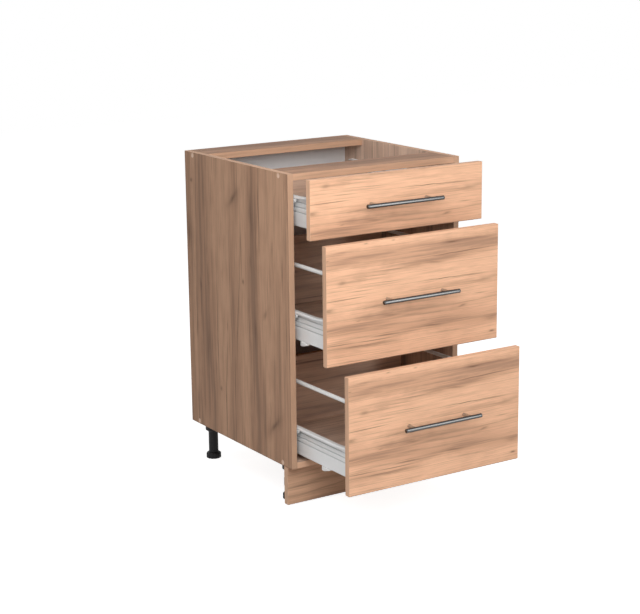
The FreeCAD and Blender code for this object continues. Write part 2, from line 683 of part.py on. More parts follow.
def side_clip(drawer):
    """Plastic clip under the right steel side: a head that tapers forwards, and its peg."""
    x = WALL_X + SIDE_CLIP_PROUD - SIDE_CLIP_W
    front = box_front(drawer) + SIDE_CLIP_BACK
    rear = front + SIDE_CLIP_L
    low = side_z(drawer)
    outline = [(front, low), (rear, low), (rear, low - SIDE_CLIP_DROP),
               (rear - SIDE_CLIP_HEAD_L, low - SIDE_CLIP_DROP), (front, low - SIDE_CLIP_TIP_H)]
    corners = [Vector(x, y, z) for y, z in outline]
    wedge = Part.Face(Part.makePolygon(corners + corners[:1])).extrude(RIGHT * SIDE_CLIP_W)
    return fuse([wedge, rod(side_peg_place(drawer), UP, SIDE_PEG_R, SIDE_PEG_L)])


def handle(drawer):
    """Round bar on two posts."""
    posts = []
    for place in handle_post_places(drawer):
        posts.append(rod(place, TO_FRONT, POST_R, HANDLE_STANDOFF))
    axis = handle_post_places(drawer)[0] + TO_FRONT * HANDLE_STANDOFF
    bar = rod(Vector(-HANDLE_L / 2, axis.y, axis.z), RIGHT, HANDLE_R, HANDLE_L)
    taps = [rod(place, TO_FRONT, HANDLE_SCREW.shank_r + HOLE_CLEAR, HANDLE_TAP_L)
            for place in handle_post_places(drawer)]
    return fuse([bar] + posts).cut(taps)


def drawer_screws(drawer):
    screws = [screw(BOX_SCREW, seat, UP) for seat in flange_screw_seats(drawer)]
    screws += [screw(BOX_SCREW, seat, TO_FRONT) for seat in rear_tab_screw_seats(drawer)]
    screws += [screw(BOX_SCREW, seat, TO_FRONT) for seat in bracket_screw_seats(drawer)]
    return pairs(screws) + [screw(HANDLE_SCREW, seat, TO_FRONT) for seat in handle_screw_seats(drawer)]


def railing(drawer):
    """Right railing rod, and its front and rear holders."""
    front = box_front(drawer)
    rear = front + DRAWER_L - SHEET_T - DRAWER_BACK_T
    axis = Vector(SIDE_X - ROD_INSET, front, drawer.front_z + ROD_RISE)
    bar = rod(axis, TO_WALL, ROD_R, rear - front)
    bore = rod(axis, TO_WALL, ROD_R + ROD_CLEAR, rear - front)
    front_holder = rod(axis, TO_WALL, HOLDER_R, FRONT_HOLDER_L)
    rear_holder = rod(Vector(axis.x, rear, axis.z), TO_FRONT, HOLDER_R, REAR_HOLDER_L)
    return bar, [front_holder.cut(bore), rear_holder.cut(bore)]


def export_drawer(drawer):
    name = drawer.name + "_drawer"
    right_side = steel_side(drawer)
    export(name + "_front", [drawer_front(drawer)])
    export(name + "_left_side", [mirrored(right_side)])
    export(name + "_right_side", [right_side])
    export(name + "_bottom", [drawer_bottom(drawer)])
    export(name + "_back", [drawer_back(drawer)])
    export(name + "_handle", [handle(drawer)])
    export(name + "_front_brackets", pair(front_bracket(drawer)))
    export(name + "_side_clips", pair(side_clip(drawer)))
    export(name + "_screws", drawer_screws(drawer))
    if drawer.railed:
        bar, holders = railing(drawer)
        export(name + "_railing_rods", pair(bar))
        export(name + "_railing_holders", pairs(holders))


# ---------------------------------------------------------------- whole cabinet

def drawer_stack():
    """The three drawers: the top front has its own height, the two below share the rest."""
    low = LEG_H + FRONT_END_REVEAL
    high = CARCASS_TOP - FRONT_END_REVEAL
    deep_h = (high - low - TOP_FRONT_H - 2 * FRONT_GAP) / 2
    middle_z = low + deep_h + FRONT_GAP
    return [
        Drawer("top", high - TOP_FRONT_H, TOP_FRONT_H, OPENED_TOP,
               TOP_SIDE_RISE, TOP_SIDE_RISE + SIDE_H, False),
        Drawer("middle", middle_z, deep_h, OPENED_MIDDLE, DEEP_SIDE_RISE, DEEP_BACK_RISE, True),
        Drawer("bottom", low, deep_h, OPENED_BOTTOM, DEEP_SIDE_RISE, DEEP_BACK_RISE, True),
    ]


def main():
    os.makedirs("parts", exist_ok=True)
    drawers = drawer_stack()
    export_carcass(drawers)
    export_legs_and_plinth()
    export_runners(drawers)
    for drawer in drawers:
        export_drawer(drawer)


main()
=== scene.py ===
# %% [markdown]
# # A kitchen base cabinet with three drawers
#
# The cabinet was drawn in a CAD program first, and its frame is loaded here as it is: every
# board, rod and screw already has its true size and place. This lesson dresses that frame.
# Boards keep their CAD shape and get a wood finish. Pressed, turned and moulded pieces are
# modelled again with the fine forms that a plain solid leaves out, and each one rides on the
# same moving body as the CAD piece that it stands for.

# %% Load the frame
import json
import math

import bmesh
import bpy
from mathutils import Matrix, Quaternion, Vector

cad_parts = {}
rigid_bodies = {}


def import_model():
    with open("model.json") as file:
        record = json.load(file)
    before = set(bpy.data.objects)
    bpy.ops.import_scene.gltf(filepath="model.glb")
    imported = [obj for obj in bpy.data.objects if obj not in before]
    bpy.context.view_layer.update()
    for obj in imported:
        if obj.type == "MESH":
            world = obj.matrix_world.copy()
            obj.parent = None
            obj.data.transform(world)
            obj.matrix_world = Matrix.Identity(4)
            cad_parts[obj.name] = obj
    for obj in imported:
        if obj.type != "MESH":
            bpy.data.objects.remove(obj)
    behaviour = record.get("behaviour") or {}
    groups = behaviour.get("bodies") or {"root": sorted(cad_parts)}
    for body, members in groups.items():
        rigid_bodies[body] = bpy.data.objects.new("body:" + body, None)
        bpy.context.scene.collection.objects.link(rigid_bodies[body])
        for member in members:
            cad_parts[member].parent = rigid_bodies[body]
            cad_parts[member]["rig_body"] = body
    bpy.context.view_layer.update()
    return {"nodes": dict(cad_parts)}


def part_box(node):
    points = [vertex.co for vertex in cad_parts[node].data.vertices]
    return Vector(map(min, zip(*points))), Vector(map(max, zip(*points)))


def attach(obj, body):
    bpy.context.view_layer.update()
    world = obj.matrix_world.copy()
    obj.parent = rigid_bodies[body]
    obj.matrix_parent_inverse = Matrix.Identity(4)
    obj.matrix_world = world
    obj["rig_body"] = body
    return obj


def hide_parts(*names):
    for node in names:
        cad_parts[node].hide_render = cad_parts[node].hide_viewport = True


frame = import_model()

# %% [markdown]
# ## The camera
#
# The photograph was taken from the left front and a little above, with a long lens. A camera
# could be found by eye, but corners of boards whose real places are known give a better answer:
# the lens, place and direction below were solved so that those corners fall where they are in
# the photograph. The direction is a turn to the right, a tilt down and a hint of roll.

# %% Place the camera
PHOTO_PX = 640            # width of the photograph in pixels
FOCAL_PX = 1684.4         # focal length in the same pixels
CAMERA_PLACE = (-2.2780, -3.4042, 1.4205)
YAW, PITCH, ROLL = math.radians(32.683), math.radians(13.332), -0.01123

camera_data = bpy.data.cameras.new("photo_camera")
camera_data.sensor_width = 36.0
camera_data.lens = FOCAL_PX / PHOTO_PX * camera_data.sensor_width
camera = bpy.data.objects.new("photo_camera", camera_data)
bpy.context.scene.collection.objects.link(camera)
bpy.context.scene.camera = camera
camera.location = CAMERA_PLACE
camera.rotation_mode = "QUATERNION"
camera.rotation_quaternion = (Quaternion((0, 0, 1), -YAW)
                              @ Quaternion((1, 0, 0), math.pi / 2 - PITCH)
                              @ Quaternion((0, 0, 1), ROLL))
print("lens, mm:", round(camera_data.lens, 1))

# %% [markdown]
# ## The studio
#
# The cabinet stands on a white floor in soft light. Its fronts are the brightest, the top one
# most of all, and the left side is in gentle shade. So one large lamp stands near, a little
# left of the fronts and above them, where it also reaches the carcass edge behind the drawers.
# Weaker ones fill from the left, the right and the rear, and the world adds an even glow. A
# tall strip to the right stands where the round handles mirror it as a bright line.
# The white behind the cabinet is only what the camera and shiny surfaces see of floor and
# world, so it puts no more light on the wood.

# %% Light the studio
def white_for_view(tree):
    """1 for rays from the camera and from shiny or clear surfaces, else 0."""
    path = tree.nodes.new("ShaderNodeLightPath")
    total = path.outputs["Is Camera Ray"]
    for name in ("Is Glossy Ray", "Is Transmission Ray"):
        add = tree.nodes.new("ShaderNodeMath")
        add.operation = "MAXIMUM"
        tree.links.new(total, add.inputs[0])
        tree.links.new(path.outputs[name], add.inputs[1])
        total = add.outputs[0]
    return total


GLOW = 0.22               # strength of the world as a light
world = bpy.data.worlds.new("studio_world")
world.use_nodes = True
bpy.context.scene.world = world
sky = world.node_tree.nodes["Background"]
strength = world.node_tree.nodes.new("ShaderNodeMapRange")
strength.inputs["To Min"].default_value = GLOW
strength.inputs["To Max"].default_value = 1.0
world.node_tree.links.new(white_for_view(world.node_tree), strength.inputs["Value"])
world.node_tree.links.new(strength.outputs[0], sky.inputs["Strength"])
sky.inputs["Color"].default_value = (1, 1, 1, 1)
bpy.context.scene.view_settings.view_transform = "Standard"
print("world glow:", GLOW)

# %% Hang the lamps
def lamp(name, place, aim, width, height, watts):
    """A soft rectangular lamp that the camera doesn't see."""
    data = bpy.data.lights.new(name, "AREA")
    data.shape = "RECTANGLE"
    data.size, data.size_y = width, height
    data.energy = watts
    made = bpy.data.objects.new(name, data)
    bpy.context.scene.collection.objects.link(made)
    made.location = place
    made.rotation_mode = "QUATERNION"
    made.rotation_quaternion = (Vector(aim) - Vector(place)).to_track_quat("-Z", "Y")
    made.visible_camera = False


lamp("front_lamp", (-0.80, -1.35, 1.55), (0, -0.2, 0.6), 1.2, 1.2, 22.5)
lamp("glint_strip", (1.15, -1.95, 1.05), (0, -0.3, 0.5), 0.40, 1.9, 12.5)
lamp("left_fill", (-2.2, -1.2, 1.9), (0, 0, 0.5), 1.0, 1.0, 5.5)
lamp("right_fill", (2.6, 0.7, 1.5), (0.2, 0.1, 0.5), 1.0, 1.0, 11)
lamp("rear_fill", (-0.6, 2.9, 1.5), (0, 0.4, 0.5), 1.0, 1.0, 12)
print("lamps:", len(bpy.data.lights))

# %% Lay the floor
FLOOR_SIZE = 14           # metres
FLOOR_GLOW = 0.87         # how strongly the view sees the floor shine
bpy.ops.object.select_all(action="DESELECT")
bpy.ops.mesh.primitive_plane_add(size=FLOOR_SIZE, location=(0, 0, -0.0003))
floor = bpy.context.object
floor.name = "studio_floor"
floor_paint = bpy.data.materials.new("floor_paint")
floor_paint.use_nodes = True
floor_tree = floor_paint.node_tree
floor_shader = floor_tree.nodes["Principled BSDF"]
floor_shader.inputs["Base Color"].default_value = (0.60, 0.60, 0.60, 1)
floor_shader.inputs["Roughness"].default_value = 0.9
floor_shader.inputs["Specular IOR Level"].default_value = 0.0
floor_shader.inputs["Emission Color"].default_value = (1, 1, 1, 1)
lift = floor_tree.nodes.new("ShaderNodeMath")
lift.operation = "MULTIPLY"
lift.inputs[1].default_value = FLOOR_GLOW
floor_tree.links.new(white_for_view(floor_tree), lift.inputs[0])
floor_tree.links.new(lift.outputs[0], floor_shader.inputs["Emission Strength"])
floor.data.materials.append(floor_paint)
print("floor, m:", FLOOR_SIZE)

# %% [markdown]
# ## Small tools for finishes
#
# A finish is a net of nodes. Placing each node by hand takes many lines, so a few helpers stand
# in for the commonest ones: a sum, a soft step from one value to another, a mix, and a
# stretched noise, which is the base of every grain and speckle here.

# %% Helpers for sums, steps and noise
def feed(tree, value, socket):
    """Links a socket to another one, or writes a plain value into it."""
    if isinstance(value, bpy.types.NodeSocket):
        tree.links.new(value, socket)
    else:
        socket.default_value = value


def calc(tree, operation, *values, kind="ShaderNodeMath"):
    """A sum on numbers."""
    node = tree.nodes.new(kind)
    node.operation = operation
    for value, socket in zip(values, node.inputs):
        feed(tree, value, socket)
    return node.outputs[0]


def vector_calc(tree, operation, *values):
    """The same sum on each of the three numbers of a place or a colour."""
    return calc(tree, operation, *values, kind="ShaderNodeVectorMath")


def step(tree, value, start, end, low=0.0, high=1.0):
    """Soft step: low up to start, high from end on."""
    node = tree.nodes.new("ShaderNodeMapRange")
    node.interpolation_type = "SMOOTHSTEP"
    for given, socket in zip((value, start, end, low, high), node.inputs):
        feed(tree, given, socket)
    return node.outputs[0]


def noise(tree, place, stretch, detail=2.0, rough=0.5):
    """Noise whose features are 1 / stretch metres long along each axis."""
    node = tree.nodes.new("ShaderNodeTexNoise")
    feed(tree, vector_calc(tree, "MULTIPLY", place, stretch), node.inputs["Vector"])
    for setting, value in (("Scale", 1.0), ("Detail", detail), ("Roughness", rough)):
        node.inputs[setting].default_value = value
    return node.outputs[0]

# %% Helpers for mixes, groups and finishes
MIX_PLACES = {"FLOAT": (0, 2, 3, 0), "RGBA": (0, 6, 7, 2)}  # amount, first, second, result


def blend(tree, kind, *values):
    """Mixes two numbers, kind FLOAT, or two colours, kind RGBA, by an amount."""
    node = tree.nodes.new("ShaderNodeMix")
    node.data_type = kind
    *places, result = MIX_PLACES[kind]
    for value, place in zip(values, places):
        feed(tree, value, node.inputs[place])
    return node.outputs[result]


def blend_colour(tree, amount, first, second):
    return blend(tree, "RGBA", amount, first, second)


def rough_up(tree, shader, height, strength, depth):
    """Lets heights tilt the surface a little where light meets it."""
    bump = tree.nodes.new("ShaderNodeBump")
    bump.inputs["Strength"].default_value = strength
    bump.inputs["Distance"].default_value = depth
    feed(tree, height, bump.inputs["Height"])
    feed(tree, bump.outputs[0], shader.inputs["Normal"])


def new_group(name, takes, gives):
    """An empty node group: its tree, the sockets that come in and those that go out."""
    group = bpy.data.node_groups.new(name, "ShaderNodeTree")
    for way, sockets in (("INPUT", takes), ("OUTPUT", gives)):
        for label, kind in sockets.items():
            group.interface.new_socket(label, in_out=way, socket_type="NodeSocket" + kind)
    come_in = group.nodes.new("NodeGroupInput")
    go_out = group.nodes.new("NodeGroupOutput")
    return group, come_in.outputs, go_out.inputs


def new_finish(name):
    """A material, its tree and its main shader."""
    finish = bpy.data.materials.new(name)
    finish.use_nodes = True
    return finish, finish.node_tree, finish.node_tree.nodes["Principled BSDF"]


def dress(finish, *nodes):
    """Gives a finish to CAD nodes that keep their shape."""
    for node in nodes:
        for slot in frame["nodes"][node].material_slots:
            slot.material = finish
    print(finish.name, "on", len(nodes), "CAD nodes")

# %% [markdown]
# ## Oak decor
#
# The boards are chipboard with a printed oak decor. Its picture has layers: broad bands of pale
# peach and greyed brown, soft clouds, streaks a few millimetres wide, fine fibres, and now and
# then a long dark crack. Each layer is noise that is long along the grain and short across it.
# A slow noise first bends the grain a little, so that no line is quite straight. As every board
# shares this picture, it is a node group. Its main input is the place on the decor, in metres
# along the grain and across it.

# %% Lay out the layers of the oak decor
BEND = 0.014              # strength of the grain's slow bend, in metres
decor, decor_in, decor_out = new_group(
    "oak_decor", {"Place": "Vector", "Zones": "Float", "Marks": "Float"},
    {"Colour": "Color", "Gloss": "Float", "Height": "Float"})

slow = calc(decor, "SUBTRACT", noise(decor, decor_in["Place"], (2.6, 7.0, 5.0)), 0.5)
aside = decor.nodes.new("ShaderNodeCombineXYZ")
feed(decor, calc(decor, "MULTIPLY", slow, BEND), aside.inputs["Y"])
grain = vector_calc(decor, "ADD", decor_in["Place"], aside.outputs[0])

bands = noise(decor, grain, (1.7, 19.0, 7.0))
clouds = noise(decor, grain, (13.0, 60.0, 7.0))
streaks = noise(decor, grain, (3.4, 88.0, 7.0), 3.0, 0.62)
dashes = noise(decor, grain, (4.5, 430.0, 7.0))
fibres = noise(decor, grain, (16.0, 900.0, 7.0))
cracks = noise(decor, grain, (3.5, 190.0, 7.0), 1.0)
crack_zones = noise(decor, grain, (3.0, 12.0, 7.0), 1.0)
print("decor layers: bands, clouds, streaks, dashes, fibres, cracks")

# %% Colour the oak decor
PALE_OAK = (0.960, 0.572, 0.365, 1)
MILD_OAK = (0.730, 0.417, 0.262, 1)
GREY_OAK = (0.440, 0.254, 0.164, 1)
DARK_OAK = (0.150, 0.078, 0.046, 1)
ZONE_PUSH = 0.26          # how much a zone moves the bands
BAND_PUSH = 0.55          # how much a band moves the streaks in it

tone = calc(decor, "ADD", bands, calc(decor, "MULTIPLY", decor_in["Zones"], ZONE_PUSH))
push = calc(decor, "MULTIPLY", calc(decor, "SUBTRACT", tone, 0.5), BAND_PUSH)
streaked = calc(decor, "ADD", streaks, push)
colour = blend_colour(decor, step(decor, tone, 0.32, 0.66), PALE_OAK, MILD_OAK)
for layer, start, end, share, wood in (
        (clouds, 0.42, 0.70, 0.50, MILD_OAK), (streaked, 0.49, 0.76, 0.90, GREY_OAK),
        (streaked, 0.46, 0.26, 0.60, PALE_OAK), (dashes, 0.50, 0.70, 0.42, GREY_OAK),
        (fibres, 0.47, 0.72, 0.30, GREY_OAK)):
    colour = blend_colour(decor, step(decor, layer, start, end, 0.0, share), colour, wood)
print("decor tones: pale, mild, grey and dark oak")

# %% Add cracks and marks, gloss and height
CRACK_SHARE, MARK_LIMIT = 0.55, 0.9     # how dark a crack and a mark can get
crack_depth = calc(decor, "MULTIPLY", step(decor, cracks, 0.62, 0.72),
                   step(decor, crack_zones, 0.47, 0.60))
colour = blend_colour(decor, calc(decor, "MULTIPLY", crack_depth, CRACK_SHARE), colour, DARK_OAK)
mark_depth = calc(decor, "MULTIPLY", decor_in["Marks"], step(decor, fibres, 0.30, 0.66, 0.75, 1.2))
colour = blend_colour(decor, calc(decor, "MINIMUM", mark_depth, MARK_LIMIT), colour, DARK_OAK)
height = calc(decor, "SUBTRACT", calc(decor, "MULTIPLY", fibres, 0.4), crack_depth)
feed(decor, colour, decor_out["Colour"])
feed(decor, step(decor, fibres, 0.2, 0.8, 0.50, 0.64), decor_out["Gloss"])
feed(decor, height, decor_out["Height"])
print("decor nodes:", len(decor.nodes))

# %% [markdown]
# Some features of the picture catch the eye: a dark crack right of the handle, a smudge, a knot.
# Random noise never puts them where the photograph has them. Each one is a soft oval instead,
# with a centre, a half length along the grain, a half width across it and a tilt.

# %% A group for one mark in the wood
MARK_NUMBERS = ("Along", "Across", "Half Length", "Half Width", "Tilt", "Strength")
RIPPLE = 0.003            # how far the rim of a mark wavers at least, in metres
mark, given, mark_out = new_group(
    "oak_mark", {"Place": "Vector", **dict.fromkeys(MARK_NUMBERS, "Float")}, {"Depth": "Float"})

spot = mark.nodes.new("ShaderNodeSeparateXYZ")
feed(mark, given["Place"], spot.inputs[0])
along = calc(mark, "SUBTRACT", spot.outputs["X"], given["Along"])
across = calc(mark, "SUBTRACT", calc(mark, "SUBTRACT", spot.outputs["Y"], given["Across"]),
              calc(mark, "MULTIPLY", along, given["Tilt"]))
ripple = calc(mark, "SUBTRACT", noise(mark, given["Place"], (24.0, 40.0, 1.0)), 0.5)
ripple = calc(mark, "MULTIPLY", ripple, calc(mark, "ADD", given["Half Width"], RIPPLE))
across = calc(mark, "ADD", across, ripple)
far = 0.0
for distance, half in ((along, "Half Length"), (across, "Half Width")):
    share = calc(mark, "ABSOLUTE", calc(mark, "DIVIDE", distance, given[half]))
    far = calc(mark, "ADD", far, calc(mark, "POWER", share, 2.0))
fade = calc(mark, "EXPONENT", calc(mark, "MULTIPLY", far, -1.0))
feed(mark, calc(mark, "MULTIPLY", fade, given["Strength"]), mark_out["Depth"])
print("a mark takes:", ", ".join(MARK_NUMBERS))

# %% [markdown]
# Lists of marks follow, in millimetres from the board's corner: for the sheet that the fronts
# are cut from, with the grain lying, for the left side, with the grain standing, and for the
# plinth and the top rails. The top front is cut 72 mm lower out of the same sheet than the two
# deep fronts are. Broad zones come first: a positive one makes the streaks darker and denser
# there, a negative one thins them out.

# %% List the zones and marks of the fronts
FRONT_ZONES = [  # along, across, half length, half width, tilt, strength
    (250, 34, 360, 20, 0.0, 0.95), (430, 34, 110, 20, 0.0, 0.40), (320, 68, 100, 7, 0.0, 0.60),
    (90, 118, 170, 46, 0.0, -0.90), (330, 104, 200, 14, 0.0, -0.80), (430, 133, 80, 9, 0.0, 0.40),
    (310, 214, 190, 22, 0.0, 0.95), (200, 180, 120, 13, 0.0, 0.55), (430, 188, 100, 22, 0.0, 0.30),
    (60, 196, 90, 16, 0.0, 0.40), (250, 262, 340, 18, 0.0, -0.80), (90, 66, 140, 8, 0.0, -0.40),
    (250, 4, 340, 7, 0.0, -0.50),
]
FRONT_MARKS = [
    (392, 54, 95, 0.9, -0.020, 0.70), (345, 56, 60, 2.5, 0.0, 0.25), (340, 113, 75, 0.9, 0.004, 0.80),
    (420, 115, 60, 1.2, 0.0, 0.35), (355, 28, 20, 2.6, 0.02, 0.65), (405, 26, 60, 4.0, 0.04, 0.35),
    (305, 71, 22, 2.2, 0.05, 0.40), (250, 70, 50, 5.0, 0.0, 0.20), (172, 101, 20, 0.9, 0.02, 0.40),
    (30, 234, 38, 1.0, 0.0, 0.55), (298, 223, 24, 2.2, 0.05, 0.55), (178, 182, 20, 2.6, 0.01, 0.40),
    (88, 184, 6, 1.0, 0.0, 0.55), (43, 89, 11, 5.0, 0.0, 0.32), (5, 150, 13, 5.5, 0.0, 0.50),
    (390, 188, 11, 2.2, -0.18, 0.45), (481, 264, 7, 1.8, 0.0, 0.80), (476, 230, 18, 6.0, 0.0, 0.30),
    (450, 131, 42, 4.5, -0.09, 0.28), (443, 163, 14, 1.2, 0.0, 0.40), (430, 179, 70, 0.9, -0.03, 0.30),
    (3, 34, 5, 1.2, 0.0, 0.50), (110, 4, 5, 1.5, 0.0, 0.45), (187, 4, 5, 1.5, 0.0, 0.40),
]
print("fronts:", len(FRONT_ZONES), "zones and", len(FRONT_MARKS), "marks")

# %% List the zones and marks of the left side
SIDE_ZONES = [
    (300, 85, 420, 24, 0.0, 0.95), (570, 96, 150, 34, 0.0, 0.80), (360, 32, 420, 10, 0.0, -0.80),
    (150, 200, 190, 60, 0.0, -0.60), (270, 336, 220, 17, 0.0, 1.05), (90, 440, 170, 55, 0.0, -0.85),
    (310, 378, 170, 15, 0.0, -0.70), (630, 362, 130, 38, 0.0, 0.90), (490, 160, 120, 22, 0.0, -0.60),
    (520, 280, 200, 24, 0.0, -0.30), (500, 450, 90, 30, 0.0, -0.35), (130, 125, 120, 14, 0.0, 0.30),
]
SIDE_MARKS = [
    (90, 243, 17, 9.0, -0.95, 0.40), (90, 243, 34, 26.0, -0.95, 0.22), (627, 427, 18, 9.0, -0.95, 0.45),
    (627, 427, 34, 26.0, -0.95, 0.22), (410, 254, 75, 1.8, -0.085, 0.70), (300, 266, 70, 1.3, -0.05, 0.40),
    (560, 236, 80, 1.8, -0.07, 0.40), (640, 189, 90, 1.8, -0.02, 0.70), (422, 203, 14, 3.0, 0.0, 0.40),
    (520, 196, 60, 1.4, -0.06, 0.40), (120, 327, 48, 7.0, 0.06, 0.35), (240, 321, 20, 4.0, 0.0, 0.35),
    (410, 342, 38, 8.0, 0.02, 0.40), (340, 69, 14, 5.0, 0.0, 0.50), (320, 108, 34, 4.0, 0.08, 0.30),
    (205, 14, 40, 10.0, 0.0, 0.45), (72, 31, 5, 6.0, 0.0, 0.60), (293, 285, 6, 4.0, 0.0, 0.65),
    (595, 162, 6, 5.0, 0.0, 0.45), (357, 388, 12, 6.0, -0.4, 0.40), (190, 425, 18, 4.0, 0.0, 0.30),
    (235, 470, 32, 2.0, -0.02, 0.45), (350, 455, 45, 2.0, -0.04, 0.40), (390, 487, 60, 1.6, 0.0, 0.55),
    (290, 401, 50, 1.6, 0.0, 0.35), (500, 100, 40, 7.0, -0.1, 0.30), (660, 322, 60, 1.6, 0.0, 0.30),
]
print("left side:", len(SIDE_ZONES), "zones and", len(SIDE_MARKS), "marks")

# %% List the marks of the plinth and of the rails' edges
PLINTH_MARKS = [
    (45, 52, 45, 1.3, -0.02, 0.50), (110, 69, 60, 1.6, -0.09, 0.40), (150, 40, 50, 8.0, -0.05, 0.15),
    (120, 88, 60, 5.0, -0.05, 0.12), (330, 30, 90, 1.4, 0.03, 0.40), (400, 66, 70, 6.0, 0.0, 0.20),
]
RAIL_MARKS = [            # an edge lies 400 mm across from the board's corner
    (228, 408, 30, 1.3, 0.0, 0.75), (390, 406, 45, 2.6, 0.0, 0.60), (330, 412, 30, 2.2, 0.0, 0.45),
    (90, 411, 40, 1.5, 0.0, 0.40), (300, 60, 120, 1.5, 0.02, 0.45), (120, 25, 80, 2.5, 0.0, 0.35),
    (400, 40, 60, 5.0, 0.0, 0.40),
]
print("plinth:", len(PLINTH_MARKS), "marks, rails:", len(RAIL_MARKS), "marks")

# %% [markdown]
# A board shows its decor on six faces. On the two large ones the picture runs along the grain.
# The narrow edges carry a glued band of a paler decor that runs along the edge, whichever way
# the board's own grain goes. The way a face points tells which of the three it is, so the
# finish can choose the coordinates for it, with no seams to unwrap. Some boards get a thin dark
# line along their lower edge, and the side panels also along their front edge.

# %% Turn a place on a board into a place on the decor
FACING = 0.7              # a face looks along an axis if its normal's part there is larger
EDGE_ACROSS = 0.4         # the edges show the decor this many metres further across
EDGE_LAYER = 1.7          # and in another layer of the noise


def decor_place(tree, grain_axis, cross_axis, origin, flip):
    """Metres along the decor and across it, from the board's corner at origin."""
    spot = tree.nodes.new("ShaderNodeTexCoord")
    part = tree.nodes.new("ShaderNodeSeparateXYZ")
    way = tree.nodes.new("ShaderNodeSeparateXYZ")
    feed(tree, spot.outputs["Object"], part.inputs[0])
    feed(tree, spot.outputs["Normal"], way.inputs[0])
    thick_axis = 3 - grain_axis - cross_axis
    local = [calc(tree, "SUBTRACT", part.outputs[axis], origin[axis]) for axis in range(3)]
    for axis in range(3):
        if flip[axis]:
            local[axis] = calc(tree, "MULTIPLY", local[axis], -1.0)
    on_end, on_long_edge = [calc(tree, "GREATER_THAN", calc(tree, "ABSOLUTE", way.outputs[axis]), FACING)
                            for axis in (grain_axis, cross_axis)]
    on_edge = calc(tree, "MAXIMUM", on_end, on_long_edge)
    edge_over = calc(tree, "ADD", local[thick_axis], EDGE_ACROSS)
    place = tree.nodes.new("ShaderNodeCombineXYZ")
    feed(tree, blend(tree, "FLOAT", on_end, local[grain_axis], local[cross_axis]), place.inputs["X"])
    feed(tree, blend(tree, "FLOAT", on_edge, local[cross_axis], edge_over), place.inputs["Y"])
    feed(tree, calc(tree, "MULTIPLY", on_edge, EDGE_LAYER), place.inputs["Z"])
    return place.outputs[0], on_edge, local[grain_axis], local[cross_axis], way.outputs[thick_axis]

# %% Add up the marks on a board
def depth_of(tree, place, marks):
    """The sum of a list of marks at a place on the decor."""
    depth = 0.0
    for *lengths, tilt, strength in marks:
        node = tree.nodes.new("ShaderNodeGroup")
        node.node_tree = mark
        feed(tree, place, node.inputs["Place"])
        numbers = [length / 1000 for length in lengths] + [tilt, strength]
        for value, socket in zip(numbers, node.inputs[1:]):
            socket.default_value = value
        depth = calc(tree, "ADD", depth, node.outputs[0])
    return depth

# %% The finish of one board
BAND_OAK = (0.86, 0.55, 0.37, 1)
INNER_LIGHT_TINT = (1.08, 1.32, 1.60)         # painted light: a lighter, greyer tone for the inner faces
# width of the thin dark line along some edges, in metres
DARK_EDGE_LINE = 0.0020


def oak_finish(name, grain_axis, cross_axis, origin, flip=(False, False, False), shift=(0, 0, 0),
               zones=(), marks=(), tan_and_shade=(1, 1, 1), inner=0, dark_line_along=None, dark_line_across=None):
    """tan tints the faces; on the carcass, its left side and the rails it is partly painted shade.
    inner: 1 or -1 paints a lighter, greyer tone standing in for the light inside on the face that
    looks that way, 2 on both. The thin dark edge lines are that far from the origin, along the grain or
    across it."""
    finish, tree, shader = new_finish(name)
    place, on_edge, run, over, facing = decor_place(tree, grain_axis, cross_axis, origin, flip)
    place = vector_calc(tree, "ADD", place, shift)
    picture = tree.nodes.new("ShaderNodeGroup")
    picture.node_tree = decor
    feed(tree, place, picture.inputs["Place"])
    feed(tree, depth_of(tree, place, zones), picture.inputs["Zones"])
    feed(tree, depth_of(tree, place, marks), picture.inputs["Marks"])
    tone = vector_calc(tree, "MULTIPLY", picture.outputs["Colour"], tan_and_shade)
    # Painted light: faces that look into the carcass or a drawer get a lighter, greyer tone that stands in
    # for the light there.
    if inner:
        looks = calc(tree, "MULTIPLY", facing, float(inner))
        if inner == 2:
            looks = calc(tree, "ABSOLUTE", facing)
        inner_lit_tone = vector_calc(tree, "MULTIPLY", tone, INNER_LIGHT_TINT)
        tone = blend_colour(tree, calc(tree, "GREATER_THAN", looks, FACING), tone, inner_lit_tone)
    # A thin dark line along the edges at the given distances from the origin.
    for reach, value in ((dark_line_along, run), (dark_line_across, over)):
        if reach is not None:
            line = step(tree, value, reach - DARK_EDGE_LINE, reach - DARK_EDGE_LINE / 2, 0.0, 0.6)
            tone = blend_colour(tree, line, tone, DARK_OAK)
    tone = blend_colour(tree, calc(tree, "MULTIPLY", on_edge, 0.5), tone, BAND_OAK)
    feed(tree, tone, shader.inputs["Base Color"])
    feed(tree, picture.outputs["Gloss"], shader.inputs["Roughness"])
    rough_up(tree, shader, picture.outputs["Height"], 0.15, 0.0003)
    shader.inputs["Specular IOR Level"].default_value = 0.15
    return finish

# %% Dress the fronts
X, Y, Z = 0, 1, 2
DRAWERS = ("top", "middle", "bottom")
TOP_CUT = 0.072           # the top front is cut this much lower out of the sheet
for name in DRAWERS:
    node = name + "_drawer_front"
    low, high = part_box(node)
    cut_lower = TOP_CUT if name == "top" else 0.0
    dress(oak_finish(name + "_front_oak", X, Z, (low.x, low.y, high.z), (False, False, True),
                     (0, cut_lower, 0), FRONT_ZONES, FRONT_MARKS, inner=1,
                     dark_line_across=high.z - low.z), node)

# %% Dress the two sides
CARCASS_TAN_AND_SHADE = (0.76, 0.76, 0.76)        # partly a darker batch of decor than the fronts, partly painted shade on the carcass
